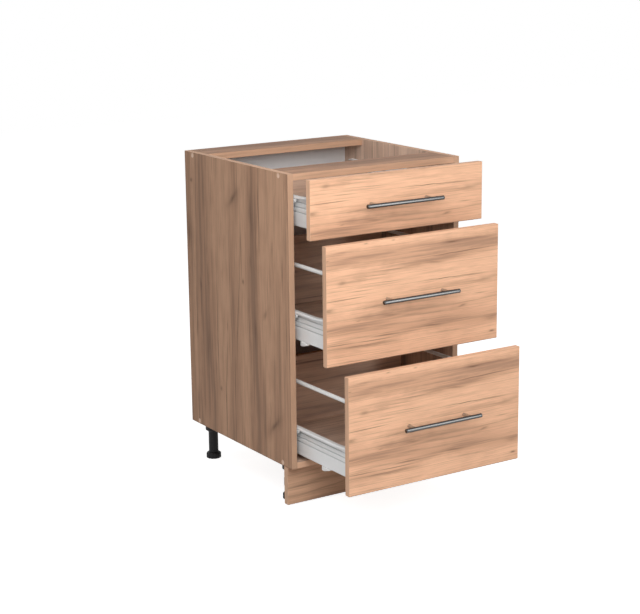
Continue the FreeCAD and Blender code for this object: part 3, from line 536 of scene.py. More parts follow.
# Painted shade: the left side is darker still, as it faces away from the main lamp.
LEFT_SIDE_SHADE = (0.67, 0.675, 0.68)
low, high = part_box("left_side_panel")
edges = {"dark_line_along": high.z - low.z, "dark_line_across": high.y - low.y}
dress(oak_finish("left_side_oak", Z, Y, (low.x, high.y, high.z), (False, True, True),
                 (0, 0, 3.0), SIDE_ZONES, SIDE_MARKS, LEFT_SIDE_SHADE, inner=1, **edges),
      "left_side_panel")
dress(oak_finish("right_side_oak", Z, Y, (0, high.y, high.z), (False, True, True),
                 (4.0, 1.0, 0), tan_and_shade=CARCASS_TAN_AND_SHADE, inner=-1, **edges),
      "right_side_panel")

# %% Dress the rails, the plinth and the inner boards
# Painted shade: the rails are darkened, standing in for the dimmer light on their top faces.
RAIL_SHADE = (0.57, 0.54, 0.52)
PLINTH_TAN = (0.84, 0.88, 0.90)
for place in ("front", "rear"):
    low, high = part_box(place + "_rail")
    dress(oak_finish(place + "_rail_oak", X, Y, low, shift=(0, 0, 4.0), marks=RAIL_MARKS,
                     tan_and_shade=RAIL_SHADE), place + "_rail")
low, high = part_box("plinth_board")
dress(oak_finish("plinth_oak", X, Z, (low.x, low.y, high.z), (False, False, True), (0, 0, 5.0),
                 marks=PLINTH_MARKS, tan_and_shade=PLINTH_TAN, dark_line_across=high.z - low.z), "plinth_board")
for name, cross_axis, shift, inner, nodes in (
        ("bottom_panel_oak", Y, (9.0, 4.0, 0), 1, ["bottom_panel"]),
        ("drawer_back_oak", Z, (5.1, 3.0, 0), 2, [name + "_drawer_back" for name in DRAWERS]),
        ("drawer_bottom_oak", Y, (1.9, 8.0, 0), 2, [name + "_drawer_bottom" for name in DRAWERS])):
    dress(oak_finish(name, X, cross_axis, (0, 0, 0), shift=shift, tan_and_shade=CARCASS_TAN_AND_SHADE, inner=inner), *nodes)

# %% [markdown]
# ## Paint, plastic and steel
#
# The runners and rods are steel with a white powder coat. Sprayed powder leaves a very fine
# orange-peel skin, so the gloss breaks up at less than a millimetre. Moulded plastic has a
# softer, wider mottle, and brushed steel has hair-thin scratches along the bar that stretch
# every highlight. All of these use the same recipe with other numbers: two tones mixed by one
# noise, and the same noise for gloss and bump.

# %% Finishes that are not wood
SLOWER = 18               # the slow mottle is this much wider than the fine one


def plain_finish(name, tone, other_tone, stretch, gloss, bump_mm, metallic=0.0, shine=0.5):
    """Two tones (red, green, blue) mixed by a noise; stretch is in features per metre."""
    finish, tree, shader = new_finish(name)
    spot = tree.nodes.new("ShaderNodeTexCoord").outputs["Object"]
    fine = noise(tree, spot, stretch)
    slow = noise(tree, spot, tuple(value / SLOWER for value in stretch), 1.0)
    mixed = calc(tree, "ADD", calc(tree, "MULTIPLY", fine, 0.5), calc(tree, "MULTIPLY", slow, 0.5))
    feed(tree, blend_colour(tree, step(tree, mixed, 0.35, 0.65), tone + (1,), other_tone + (1,)),
         shader.inputs["Base Color"])
    feed(tree, step(tree, mixed, 0.3, 0.7, gloss[0], gloss[1]), shader.inputs["Roughness"])
    rough_up(tree, shader, fine, 0.3, bump_mm / 1000)
    shader.inputs["Metallic"].default_value = metallic
    shader.inputs["Specular IOR Level"].default_value = shine
    return finish

# %% Paint and plastic
white_powder = plain_finish("white_powder_coat", (0.93, 0.93, 0.92), (0.91, 0.91, 0.90),
                            (1400, 1400, 1400), (0.30, 0.38), 0.004)
white_plastic = plain_finish("white_plastic", (0.97, 0.97, 0.96), (0.94, 0.94, 0.93),
                             (500, 500, 500), (0.38, 0.50), 0.02)
black_plastic = plain_finish("black_plastic", (0.006, 0.006, 0.007), (0.011, 0.011, 0.012),
                             (700, 700, 700), (0.50, 0.62), 0.02, shine=0.22)
cap_plastic = plain_finish("cap_plastic", (0.86, 0.60, 0.44), (0.78, 0.53, 0.38),
                           (600, 600, 600), (0.40, 0.50), 0.02)
back_lacquer = plain_finish("white_hardboard", (0.93, 0.92, 0.92), (0.91, 0.90, 0.90),
                            (900, 900, 900), (0.45, 0.60), 0.02)
dress(white_powder, *[name + "_runners" for name in DRAWERS])
dress(black_plastic, "plinth_clips")
dress(back_lacquer, "back_panel")

# %% Steel and beech
brushed_bar = plain_finish("brushed_bar_steel", (0.115, 0.115, 0.115), (0.095, 0.095, 0.095),
                           (60, 5200, 5200), (0.13, 0.20), 0.004, 1.0)
bar_shader = brushed_bar.node_tree.nodes["Principled BSDF"]
bar_shader.inputs["Specular Tint"].default_value = (0.25, 0.25, 0.25, 1)
satin_post = plain_finish("satin_post_steel", (0.50, 0.48, 0.46), (0.43, 0.41, 0.39),
                          (500, 500, 500), (0.26, 0.36), 0.008, 1.0)
zinc = plain_finish("zinc_plate", (0.62, 0.62, 0.64), (0.50, 0.50, 0.53),
                    (240, 240, 240), (0.28, 0.44), 0.01, 1.0)
beech = plain_finish("beech_dowel", (0.66, 0.47, 0.30), (0.55, 0.37, 0.22),
                     (60, 1500, 1500), (0.60, 0.75), 0.05)
dress(zinc, *[name + "_drawer_front_brackets" for name in DRAWERS])
dress(beech, "carcass_dowels")

# %% [markdown]
# ## Small tools for modelling
#
# New pieces are shaped as by hand: a primitive, a few cuts and extrusions, and a modifier or
# two. An operator works on whatever is selected, so each piece starts with nothing selected,
# and edges or faces are then picked by where they are. The last helper hands a finished piece
# over: it names it, dresses it and tells which body it rides on and which CAD node it replaces.

# %% Open and close a mesh
MM = 0.001
ALONG_X = (0, math.pi / 2, 0)           # the turn that lays a standing primitive along X
ALONG_Y = (math.pi / 2, 0, 0)           # and the one that lays it along Y


def fresh():
    """Object mode with nothing selected."""
    if bpy.context.object and bpy.context.object.mode != "OBJECT":
        bpy.ops.object.mode_set(mode="OBJECT")
    bpy.ops.object.select_all(action="DESELECT")


def choose(*objects):
    fresh()
    for one in objects:
        one.select_set(True)
    bpy.context.view_layer.objects.active = objects[0]


def shape():
    """Writes place, turn and size into the mesh and opens it for editing."""
    bpy.ops.object.transform_apply(location=True, rotation=True, scale=True)
    bpy.ops.object.mode_set(mode="EDIT")


def done():
    """Leaves edit mode and gives the piece back."""
    bpy.ops.object.mode_set(mode="OBJECT")
    return bpy.context.object

# %% Pick by place
def pick(kind, test):
    """Selects the vertices, edges or faces whose middle passes the test."""
    bpy.ops.mesh.select_mode(type=kind)
    bpy.ops.mesh.select_all(action="DESELECT")
    mesh = bmesh.from_edit_mesh(bpy.context.object.data)
    items = {"VERT": mesh.verts, "EDGE": mesh.edges, "FACE": mesh.faces}[kind]
    for item in items:
        corners = [item] if kind == "VERT" else item.verts
        middle = sum((corner.co for corner in corners), Vector()) / len(corners)
        if test(middle, item):
            item.select_set(True)
    mesh.select_flush_mode()
    bmesh.update_edit_mesh(bpy.context.object.data)

# %% Cut, extrude, resize and modify
def slice_at(axis, *places):
    """Cuts the whole mesh at places along an axis."""
    for place in places:
        bpy.ops.mesh.select_all(action="SELECT")
        point, normal = [0, 0, 0], [0, 0, 0]
        point[axis], normal[axis] = place, 1
        bpy.ops.mesh.bisect(plane_co=point, plane_no=normal)


def pull(x=0.0, y=0.0, z=0.0):
    """Extrudes the selection."""
    bpy.ops.mesh.extrude_region_move(TRANSFORM_OT_translate={"value": (x, y, z)})


def squeeze(about, x=1.0, y=1.0, z=1.0):
    """Scales the selection about a point."""
    bpy.ops.transform.resize(value=(x, y, z), center_override=about)


def modify(piece, kind, **settings):
    """Adds a modifier and applies it at once."""
    choose(piece)
    modifier = piece.modifiers.new(kind.lower(), kind)
    for name, value in settings.items():
        setattr(modifier, name, value)
    bpy.ops.object.modifier_apply(modifier=modifier.name)

# %% Copy, join and hand over
MIRROR = Matrix.Scale(-1, 4, (1, 0, 0))


def outwards(piece):
    """Makes all faces look away from the inside."""
    choose(piece)
    bpy.ops.object.mode_set(mode="EDIT")
    bpy.ops.mesh.select_all(action="SELECT")
    bpy.ops.mesh.normals_make_consistent(inside=False)
    bpy.ops.object.mode_set(mode="OBJECT")


def copy_of(piece, matrix):
    """A copy with its own mesh, moved by a matrix."""
    made = bpy.data.objects.new(piece.name + "_copy", piece.data.copy())
    bpy.context.scene.collection.objects.link(made)
    made.data.transform(matrix)
    if matrix.determinant() < 0:
        outwards(made)
    return made


def joined(pieces):
    choose(*pieces)
    if len(pieces) > 1:
        bpy.ops.object.join()
    return bpy.context.object


def erase(piece):
    bpy.data.objects.remove(piece)


def hand_over(piece, name, node, finish, smooth=40):
    """Names and dresses a finished piece, and puts it in its CAD node's place."""
    choose(piece)
    bpy.ops.object.shade_smooth_by_angle(angle=math.radians(smooth))
    piece.name = name
    piece.data.materials.clear()
    piece.data.materials.append(finish)
    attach(piece, frame["nodes"][node]["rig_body"])
    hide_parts(node)
    print(name, "faces:", len(piece.data.polygons))

# %% [markdown]
# ## Bar handles
#
# A handle is a round steel bar on two posts. It could be a curve with a bevel, but a cylinder
# whose ends are broken with a small round is as quick and gives clean rings to work with. A
# fine groove near each end shows where the end plug meets the tube. The posts get a narrow
# foot ring where they stand on the front.

# %% Model the bar
low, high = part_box("top_drawer_handle")
bar_r = (high.z - low.z) / 2
bar_axis = Vector((0, low.y + bar_r, (low.z + high.z) / 2))
bar_half = high.x
PLUG_L, GROOVE = 4 * MM, 0.35 * MM      # length of an end plug and half width of its groove
GROOVE_SIZE = 0.94        # of the bar's own radius

fresh()
bpy.ops.mesh.primitive_cylinder_add(vertices=48, radius=bar_r, depth=2 * bar_half,
                                    location=bar_axis, rotation=ALONG_X)
shape()
for side in (-1, 1):
    plug = side * (bar_half - PLUG_L)
    slice_at(X, plug - GROOVE, plug, plug + GROOVE)
    pick("VERT", lambda at, v: abs(at.x - plug) < 0.05 * MM)
    squeeze(bar_axis, y=GROOVE_SIZE, z=GROOVE_SIZE)
pick("FACE", lambda at, f: abs(f.normal.x) > 0.9)
bpy.ops.mesh.bevel(offset=0.9 * MM, segments=4, affect="EDGES")
bar = done()
print("handle bar, mm across:", round(2000 * bar_r, 1))

# %% Model the posts
POST_X, POST_R = 80 * MM, 4 * MM
RING_SIZE = 1.08          # of the post's own radius

posts = []
for side in (-1, 1):
    fresh()
    bpy.ops.mesh.primitive_cylinder_add(vertices=32, radius=POST_R, depth=high.y - bar_axis.y,
                                        location=(side * POST_X, (high.y + bar_axis.y) / 2, bar_axis.z),
                                        rotation=ALONG_Y)
    shape()
    slice_at(Y, high.y - 0.4 * MM, high.y - 1.6 * MM, high.y - 2.2 * MM)
    pick("VERT", lambda at, v: high.y - 1.7 * MM < at.y < high.y - 0.3 * MM)
    squeeze((side * POST_X, high.y, bar_axis.z), x=RING_SIZE, z=RING_SIZE)
    posts.append(done())
posts = joined(posts)
print("posts, mm apart:", round(2000 * POST_X))

# %% Fit the three handles
for name in DRAWERS:
    node = name + "_drawer_handle"
    moved = Matrix.Translation(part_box(node)[0] - low)
    hand_over(copy_of(bar, moved), name + "_handle_bar", node, brushed_bar)
    hand_over(copy_of(posts, moved), name + "_handle_posts", node, satin_post)
erase(bar)
erase(posts)

# %% [markdown]
# ## Steel drawer sides
#
# A drawer side is one folded sheet: a wall with three pressed beads, a rolled top edge that
# forms a channel, a flange under the drawer bottom, a tab behind the drawer back and a flange
# behind the front. Towards the front its top edge sweeps up. Sheet metal is easiest as a single
# skin that is folded by extruding its edges and only then gets its thickness. The folds are
# rounded before that, so that inside and outside stay parallel.

# %% Fold the sheet of one drawer side
SHEET = 1.2 * MM
SWEEP, SWEEP_L = 7 * MM, 70 * MM        # height and length of the rise towards the front
WALL_IN, LIP_OUT = 218.5 * MM, 231.7 * MM
LIP_DROP, UNDER_FLANGE, FRONT_FLANGE, REAR_TAB = 4.4 * MM, 14.6 * MM, 10 * MM, 15 * MM
TAB_FOOT = 13 * MM        # the rear tab starts this high above the lower flange
low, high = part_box("top_drawer_right_side")
wall_x = WALL_IN + SHEET / 2
lip_x = LIP_OUT - SHEET / 2
foot_z = low.z + SHEET / 2
edge_z = high.z - SWEEP - SHEET / 2
front_y, rear_y = low.y + SHEET / 2, high.y - SHEET / 2
BEADS = [edge_z - drop * MM for drop in (15.4, 27.4, 39.4)]

fresh()
bpy.ops.mesh.primitive_plane_add(size=1, rotation=ALONG_X,
                                 location=(wall_x, (front_y + rear_y) / 2, (foot_z + edge_z) / 2))
bpy.context.object.scale = (edge_z - foot_z, rear_y - front_y, 1)
shape()
for bead in BEADS:
    slice_at(Z, bead - 2.0 * MM, bead - 0.6 * MM, bead + 0.6 * MM, bead + 2.0 * MM)
slice_at(Z, foot_z + 2.6 * MM, foot_z + 4 * MM, foot_z + TAB_FOOT, edge_z - 1 * MM)
pick("EDGE", lambda at, e: at.z > edge_z - 0.1 * MM)
pull(x=lip_x - wall_x)
pull(z=-LIP_DROP)
pick("EDGE", lambda at, e: at.z < foot_z + 0.1 * MM)
pull(x=-UNDER_FLANGE)
pick("EDGE", lambda at, e: at.y < front_y + 0.1 * MM and abs(at.x - wall_x) < 0.1 * MM
     and at.z < edge_z - 1 * MM)
pull(x=FRONT_FLANGE)
pick("EDGE", lambda at, e: at.y > rear_y - 0.1 * MM and abs(at.x - wall_x) < 0.1 * MM
     and foot_z + TAB_FOOT < at.z < edge_z - 1 * MM)
pull(x=-REAR_TAB)
sheet = done()
print("folded sheet faces:", len(sheet.data.polygons))

# %% Round the folds
def along_fold(x, z):
    """Test for edges that run along the drawer at x and z."""
    return lambda at, e: (abs(at.x - x) < 0.05 * MM and abs(at.z - z) < 0.05 * MM
                          and abs(e.verts[0].co.y - e.verts[1].co.y) > 1 * MM)


EDGE_ROUND, FOOT_ROUND = 2.2 * MM, 1.4 * MM
bpy.ops.object.mode_set(mode="EDIT")
for x, z, size in ((wall_x, edge_z, EDGE_ROUND), (lip_x, edge_z, EDGE_ROUND),
                   (wall_x, foot_z, FOOT_ROUND)):
    pick("EDGE", along_fold(x, z))
    bpy.ops.mesh.bevel(offset=size, segments=4, affect="EDGES")
print("rounded sheet faces:", len(bmesh.from_edit_mesh(sheet.data).faces))

# %% Press the beads and sweep the edge
BRACKET_END = front_y + 51 * MM         # up to here a bracket lies inside the wall
SHALLOW, DEEP = 1.0 * MM, 2.0 * MM      # depth of a bead beside the bracket and behind it
SWEEP_CURVE = 1.4
slice_at(Y, front_y + 3 * MM, front_y + 5 * MM, rear_y - 12 * MM, rear_y - 10 * MM)
slice_at(Y, *[front_y + SWEEP_L * part / 7 for part in range(1, 8)])
for bead in BEADS:
    for start, end, depth in ((front_y + 4 * MM, BRACKET_END, SHALLOW),
                              (BRACKET_END, rear_y - 11 * MM, DEEP)):
        pick("VERT", lambda at, v: abs(at.z - bead) < 0.7 * MM and abs(at.x - wall_x) < 0.1 * MM
             and start < at.y < end)
        bpy.ops.transform.translate(value=(-depth, 0, 0))
pick("VERT", lambda at, v: at.z < foot_z + 3 * MM and abs(at.x - wall_x) < 1.5 * MM
     and front_y + 4 * MM < at.y < rear_y - 11 * MM)
bpy.ops.transform.translate(value=(0.5 * MM, 0, 0))
stations = sorted({round(v.co.y, 6) for v in bmesh.from_edit_mesh(sheet.data).verts
                   if v.co.y < front_y + SWEEP_L - 1 * MM})
for station in stations:
    rise = SWEEP * (1 - (station - front_y) / SWEEP_L) ** SWEEP_CURVE
    pick("VERT", lambda at, v: abs(at.y - station) < 0.01 * MM and at.z > edge_z - 6 * MM)
    bpy.ops.transform.translate(value=(0, 0, rise))
sheet = done()
modify(sheet, "SOLIDIFY", thickness=SHEET, offset=0.0, use_even_offset=True)
modify(sheet, "BEVEL", width=0.18 * MM, segments=2, limit_method="ANGLE", angle_limit=math.radians(50))
print("drawer side faces:", len(sheet.data.polygons), "stations:", len(stations))

# %% [markdown]
# A pressed bead holds a thin line of shade at its bottom, painted into the coat here.

# %% Paint shade into the coat in the beads
BEAD_SHADE = (0.30, 0.31, 0.31, 1)
SHADE_SHARE = 0.55


def bead_shade_coat(name, heights):
    """White powder coat with a soft line of painted shade at each of the heights."""
    finish = plain_finish(name, (0.92, 0.92, 0.92), (0.905, 0.905, 0.905), (1400, 1400, 1400),
                          (0.28, 0.36), 0.004, shine=0.8)
    tree = finish.node_tree
    shader = tree.nodes["Principled BSDF"]
    spot = tree.nodes.new("ShaderNodeSeparateXYZ")
    feed(tree, tree.nodes.new("ShaderNodeTexCoord").outputs["Object"], spot.inputs[0])
    shade = 0.0
    for height in heights:
        away = calc(tree, "ABSOLUTE", calc(tree, "SUBTRACT", spot.outputs["Z"], height))
        shade = calc(tree, "ADD", shade, step(tree, away, 2.0 * MM, 0.5 * MM, 0.0, SHADE_SHARE))
    plain = shader.inputs["Base Color"].links[0].from_socket
    feed(tree, blend_colour(tree, shade, plain, BEAD_SHADE), shader.inputs["Base Color"])
    return finish

# %% Rivet the roller pin and fit the six sides
PIN_UP, PIN_IN = 58.5 * MM, 14 * MM     # from the side's foot and from its rear end
PIN_R, PIN_L = 2.5 * MM, 9 * MM
pin_x = wall_x + SHEET / 2 + PIN_L / 2
pin_y, pin_z = high.y - PIN_IN, low.z + PIN_UP
fresh()
bpy.ops.mesh.primitive_cylinder_add(vertices=32, radius=PIN_R, depth=PIN_L,
                                    location=(pin_x, pin_y, pin_z), rotation=ALONG_X)
shape()
pick("FACE", lambda at, f: f.normal.x > 0.9)
pull(x=0.01 * MM)
squeeze((0, pin_y, pin_z), y=1.6, z=1.6)
pull(x=0.5 * MM)
pull(x=0.29 * MM)
squeeze((0, pin_y, pin_z), y=0.75, z=0.75)
right_side = joined([sheet, done()])

for name in DRAWERS:
    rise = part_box(name + "_drawer_right_side")[0] - low
    shift = Matrix.Translation(rise)
    coat = bead_shade_coat(name + "_side_shade_coat", [bead + rise.z for bead in BEADS])
    for hand, turn in (("right", Matrix.Identity(4)), ("left", MIRROR)):
        node = name + "_drawer_" + hand + "_side"
        hand_over(copy_of(right_side, turn @ shift), name + "_" + hand + "_steel_side", node,
                  coat)
erase(right_side)

# %% [markdown]
# ## Legs and feet
#
# Each leg is a black moulded tube with a wide collar and a flange under the carcass. Turned
# shapes like this could be spun from a profile. Here a ring is extruded and resized at each
# step, which is the same idea and lets every step be a number: it starts at the end of the
# bore, goes down through it and comes up again outside. The foot below has grip notches and a
# stem that screws into the tube.

# %% A helper for turned pieces
def turned(centre, axis, steps, count):
    """A shape turned about Z or Y: rings of (place on the axis, radius), closed at both ends."""
    fresh()
    start = centre.copy()
    start[axis], radius = steps[0]
    bpy.ops.mesh.primitive_circle_add(vertices=count, radius=radius, fill_type="NGON",
                                      location=start, rotation=(0, 0, 0) if axis == Z else ALONG_Y)
    shape()
    bpy.ops.mesh.select_all(action="SELECT")
    place = start[axis]
    for next_place, next_radius in steps[1:]:
        move, about, size = [0, 0, 0], centre.copy(), [next_radius / radius] * 3
        move[axis], about[axis], size[axis] = next_place - place, next_place, 1.0
        pull(*move)
        squeeze(about, *size)
        place, radius = next_place, next_radius
    piece = done()
    outwards(piece)
    return piece

# %% A helper that measures the solids of a CAD piece
def loose_boxes(node):
    """Lowest and highest corner of each separate solid in a CAD node, and its points."""
    original = frame["nodes"][node]
    copy = bpy.data.objects.new("measured", original.data.copy())
    bpy.context.scene.collection.objects.link(copy)
    choose(copy)
    bpy.ops.object.mode_set(mode="EDIT")
    bpy.ops.mesh.select_all(action="SELECT")
    bpy.ops.mesh.remove_doubles(threshold=0.00001)
    bpy.ops.mesh.separate(type="LOOSE")
    bpy.ops.object.mode_set(mode="OBJECT")
    found = []
    for part in list(bpy.context.selected_objects):
        points = [v.co.copy() for v in part.data.vertices]
        found.append((Vector(map(min, *points)), Vector(map(max, *points)), points))
        erase(part)
    return sorted(found, key=lambda each: tuple(round(v, 4) for v in each[0]))


leg_boxes = loose_boxes("legs")
print("legs:", len(leg_boxes))

# %% Turn the legs
LEG_RINGS = [  # height and radius in mm: bore, rim, tube with a groove, collar, flange
    (67, 8.5), (15.4, 8.5), (15, 8.8), (15.01, 12.0), (15.6, 12.6), (21, 12.6), (21.4, 12.2),
    (22.2, 12.2), (22.6, 12.6), (70, 12.6), (71.5, 12.9), (73.4, 14.2), (75.4, 17.0),
    (76.6, 19.0), (77.4, 19.8), (78.4, 20), (93.6, 20), (94.6, 20.3), (95, 21), (95.3, 28.8),
    (96.2, 30), (99.6, 30), (100, 29.6),
]
legs = [turned((leg_low + leg_high) / 2, Z, [(z * MM, r * MM) for z, r in LEG_RINGS], 56)
        for leg_low, leg_high, _ in leg_boxes]
hand_over(joined(legs), "black_legs", "legs", black_plastic)

# %% Turn the feet
FOOT_RINGS = [  # height and radius in mm: base, shoulder, stem
    (0, 18.8), (0.8, 19.6), (11.4, 19.6), (12.2, 19.2), (14.5, 17.0), (15, 16.4), (15.01, 8.2),
    (59, 8.2),
]
NOTCH_STEP = 30           # degrees from one grip notch to the next
for place in ("front_left", "front_right", "rear_left", "rear_right"):
    node = place + "_foot_base"
    foot_low, foot_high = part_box(node)
    axis = (foot_low + foot_high) / 2
    choose(turned(axis, Z, [(z * MM, r * MM) for z, r in FOOT_RINGS], 72))
    bpy.ops.object.mode_set(mode="EDIT")
    for turns, size in (((0,), 0.94), ((5, 25), 0.985)):
        pick("VERT", lambda at, v: (at - axis).xy.length > 15 * MM
             and round(math.degrees(math.atan2(at.y - axis.y, at.x - axis.x))) % NOTCH_STEP in turns)
        squeeze(axis, x=size, y=size)
    hand_over(done(), place + "_screw_foot", node, black_plastic, smooth=30)

# %% [markdown]
# ## Rollers
#
# The drawers run on small nylon wheels: one pair sits on the runners near the cabinet's front,
# one pair at the rear end of each drawer. A wheel is a short cylinder with a bore. Its flanks
# are dished, as on a moulded wheel, and its rim is rounded.

# %% Model a roller
def roller(low_corner, high_corner):
    """A wheel with rounded rims and dished flanks, and its centre."""
    centre = (low_corner + high_corner) / 2
    radius = (high_corner.z - low_corner.z) / 2
    fresh()
    bpy.ops.mesh.primitive_cylinder_add(vertices=48, radius=radius, depth=high_corner.x - low_corner.x,
                                        location=centre, rotation=ALONG_X)
    shape()
    pick("FACE", lambda at, f: abs(f.normal.x) > 0.9)
    bpy.ops.mesh.bevel(offset=0.7 * MM, segments=3, affect="EDGES")
    for side in (-1, 1):
        pick("FACE", lambda at, f: f.normal.x * side > 0.9 and len(f.verts) > 8)
        for inset, sink, size in ((0.16, 0.7, 0.94), (0.26, -0.7, 0.95)):
            bpy.ops.mesh.inset(thickness=radius * inset)
            pull(x=-side * sink * MM)
            squeeze(centre, y=size, z=size)
    return done(), centre

# %% Drill and fit the rollers
BORE_R, DRILL_L = 2.55 * MM, 20 * MM


def drill(piece, centre):
    """Cuts the round bore along X through a wheel."""
    fresh()
    bpy.ops.mesh.primitive_cylinder_add(vertices=32, radius=BORE_R, depth=DRILL_L, location=centre,
                                        rotation=ALONG_X)
    bit = bpy.context.object
    modify(piece, "BOOLEAN", operation="DIFFERENCE", object=bit, solver="EXACT")
    erase(bit)


for name in DRAWERS:
    for end in ("front", "rear"):
        node = name + "_" + end + "_rollers"
        wheels = []
        for wheel_low, wheel_high, _ in loose_boxes(node):
            wheel, centre = roller(wheel_low, wheel_high)
            drill(wheel, centre)
            wheels.append(wheel)
        hand_over(joined(wheels), name + "_" + end + "_nylon_wheels", node, white_plastic,
                  smooth=35)

# %% [markdown]
# ## Railing rods and their holders
#
# The two deep drawers have a white rod on each side above the steel side. It sits in a holder
# on the front, a longer sleeve that narrows towards the rod, and in a short one on the drawer
# back.

# %% List the rings of a rod and of a holder
ROD_R, ROD_END_R, ROD_BREAK = 5 * MM, 4.6 * MM, 0.4 * MM
LONG_HOLDER = 20 * MM     # a holder longer than this sits on the front


def rod_rings(front, rear):
    return [(front, ROD_END_R), (front + ROD_BREAK, ROD_R), (rear - ROD_BREAK, ROD_R),
            (rear, ROD_END_R)]


def holder_rings(front, rear):
    """From the wide root on the board to the narrow tip round the rod."""
    root, tip, one_mm = rear, front, -MM
    if rear - front > LONG_HOLDER:
        root, tip, one_mm = front, rear, MM
    return [(root, 6.5 * MM), (root + 2.2 * one_mm, 6.5 * MM), (root + 2.8 * one_mm, 6.0 * MM),
            (tip - 2.4 * one_mm, 5.8 * MM), (tip - 0.5 * one_mm, 5.5 * MM), (tip, 5.15 * MM)]

# %% Turn the rods and holders
for name in ("middle", "bottom"):
    for kind, rings, count, piece, slot, finish in (
            ("rods", rod_rings, 32, "white_rods", "rod_white", white_powder),
            ("holders", holder_rings, 40, "rod_sleeves", "white_plastic", white_plastic)):
        node = name + "_drawer_railing_" + kind
        made = [turned((low + high) / 2, Y, rings(low.y, high.y), count)
                for low, high, _ in loose_boxes(node)]
        hand_over(joined(made), name + "_" + piece, node, finish)

# %% [markdown]
# ## Plastic clips under the sides
#
# A small white clip is plugged into the lower flange of each steel side. It is moulded, so
# every edge is rounded: a block whose front end is drawn thin, a peg, and a Bevel modifier.

# %% Model the clips
PEG_R, PEG_H = 2.5 * MM, 7 * MM
PEG_IN = 7.5 * MM         # from the pad's outer edge and from its rear end
NOSE_START = 9 * MM       # this far from the rear end the pad starts to thin
NOSE_LIFT, NOSE_DROP = 7.0 * MM, -1.2 * MM
for name in DRAWERS:
    node = name + "_drawer_side_clips"
    clips = []
    for clip_low, clip_high, _ in loose_boxes(node):
        size = clip_high - clip_low
        pad_top = clip_high.z - PEG_H
        middle = (clip_low + clip_high) / 2
        middle.z = (clip_low.z + pad_top) / 2
        outer = 1 if middle.x > 0 else -1
        fresh()
        bpy.ops.mesh.primitive_cube_add(size=1, location=middle)
        bpy.context.object.scale = (size.x, size.y, pad_top - clip_low.z)
        shape()
        slice_at(Y, clip_high.y - NOSE_START)
        for top, move in ((False, NOSE_LIFT), (True, NOSE_DROP)):
            pick("VERT", lambda at, v: at.y < clip_low.y + 1 * MM and (at.z > middle.z) == top)
            bpy.ops.transform.translate(value=(0, 0, move))
        pad = done()
        modify(pad, "BEVEL", width=0.9 * MM, segments=3, limit_method="ANGLE",
               angle_limit=math.radians(30))
        fresh()
        peg_place = (middle.x + outer * (size.x / 2 - PEG_IN), clip_high.y - PEG_IN, pad_top + PEG_H / 2)
        bpy.ops.mesh.primitive_cylinder_add(vertices=20, radius=PEG_R, depth=PEG_H, location=peg_place)
        shape()
        pick("FACE", lambda at, f: f.normal.z > 0.9)
        bpy.ops.mesh.bevel(offset=0.5 * MM, segments=2, affect="EDGES")
        clips.append(joined([pad, done()]))
    hand_over(joined(clips), name + "_white_clips", node, white_plastic, smooth=50)

# %% [markdown]
# ## Screws and cover caps
#
# All small screws have the same pan head with a cross recess, so one is modelled and copied to
# every place where the CAD has a screw, stretched to that screw's own head and length. The
# recess is two crossed wedges taken away with a Boolean. Round caps cover the corner screws of
# the carcass.

# %% Model one screw
fresh()
bpy.ops.mesh.primitive_cylinder_add(vertices=24, radius=1, depth=1, location=(0, 0, 0.5))
shape()
pick("FACE", lambda at, f: f.normal.z > 0.9)
bpy.ops.mesh.bevel(offset=0.28, segments=4, affect="EDGES")
head = done()
for turn in (0, math.pi / 2):
    fresh()
    bpy.ops.mesh.primitive_cube_add(size=1, location=(0, 0, 0.78), rotation=(0, 0, turn))
    bpy.context.object.scale = (1.06, 0.24, 0.8)
    shape()
    pick("FACE", lambda at, f: f.normal.z < -0.9)
    squeeze((0, 0, 0), x=0.35, y=0.35)
    wedge = done()
    modify(head, "BOOLEAN", operation="DIFFERENCE", object=wedge, solver="EXACT")
    erase(wedge)
print("screw head faces:", len(head.data.polygons))

# %% Measure a screw at one end
def reach(points, middle, axis, near):
    """How far the points at one place on an axis lie from it."""
    ring = [point - middle for point in points if abs(point[axis] - near) < 0.05 * MM]
    for point in ring:
        point[axis] = 0
    return max((point.length for point in ring), default=0.0)

# %% Put screws in their places
POINT_SIZE = 0.6          # a shank narrows to this share of its radius


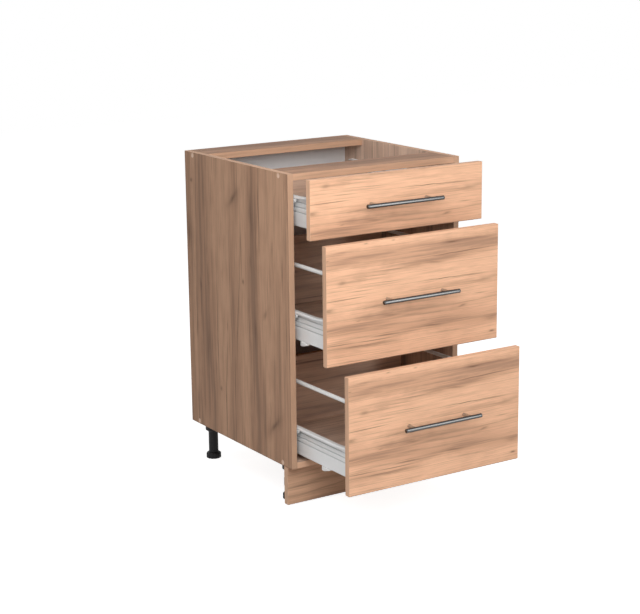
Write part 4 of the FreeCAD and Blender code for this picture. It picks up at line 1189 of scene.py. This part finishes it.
def screws_for(node, name):
    """A head and a shank for every screw in a CAD node."""
    made = []
    for screw_low, screw_high, points in loose_boxes(node):
        size = screw_high - screw_low
        axis = max(range(3), key=lambda i: size[i])
        middle = (screw_low + screw_high) / 2
        at_low, at_high = (reach(points, middle, axis, end[axis]) for end in (screw_low, screw_high))
        head_up = at_high > at_low
        head_r, shank_r = max(at_low, at_high), min(at_low, at_high)
        levels = sorted({round(p[axis], 6) for p in points})
        seat = levels[-2] if head_up else levels[1]
        end = screw_high[axis] if head_up else screw_low[axis]
        way = Vector([(1 if head_up else -1) if i == axis else 0 for i in range(3)])
        turn = way.to_track_quat("Z", "Y").to_matrix().to_4x4()
        place = middle.copy()
        place[axis] = seat
        scale = Matrix.Diagonal((head_r, head_r, abs(end - seat), 1))
        made.append(copy_of(head, Matrix.Translation(place) @ turn @ scale))
        tail = screw_low[axis] if head_up else screw_high[axis]
        fresh()
        bpy.ops.mesh.primitive_cone_add(vertices=16, radius1=shank_r, radius2=shank_r * POINT_SIZE,
                                        depth=abs(seat - tail))
        shank = bpy.context.object
        back = middle.copy()
        back[axis] = (seat + tail) / 2
        shank.data.transform(Matrix.Translation(back) @ turn @ Matrix.Rotation(math.pi, 4, "X"))
        made.append(shank)
    hand_over(joined(made), name, node, zinc, smooth=35)


for node, name in (("leg_screws", "leg_pan_screws"), ("plinth_clip_screws", "plinth_pan_screws"),
                   ("runner_screws", "runner_pan_screws"), ("corner_screws", "carcass_corner_screws")):
    screws_for(node, name)
for name in DRAWERS:
    screws_for(name + "_drawer_screws", name + "_drawer_pan_screws")
erase(head)

# %% Press in the cover caps
caps = []
for cap_low, cap_high, _ in loose_boxes("screw_cover_caps"):
    middle = (cap_low + cap_high) / 2
    outer = 1 if middle.x > 0 else -1
    fresh()
    bpy.ops.mesh.primitive_cylinder_add(vertices=40, radius=(cap_high.z - cap_low.z) / 2,
                                        depth=cap_high.x - cap_low.x, location=middle, rotation=ALONG_X)
    shape()
    pick("FACE", lambda at, f: f.normal.x * outer > 0.9)
    bpy.ops.mesh.bevel(offset=0.35 * MM, segments=2, affect="EDGES")
    pick("FACE", lambda at, f: f.normal.x * outer > 0.9 and len(f.verts) > 8)
    bpy.ops.mesh.inset(thickness=0.9 * MM)
    pull(x=-outer * 0.15 * MM)
    squeeze(middle, y=0.92, z=0.92)
    caps.append(done())
hand_over(joined(caps), "peach_cover_caps", "screw_cover_caps", cap_plastic)

# %% [markdown]
# ## Last step
#
# The script ends in object mode with nothing selected.

# %% Leave nothing selected
fresh()
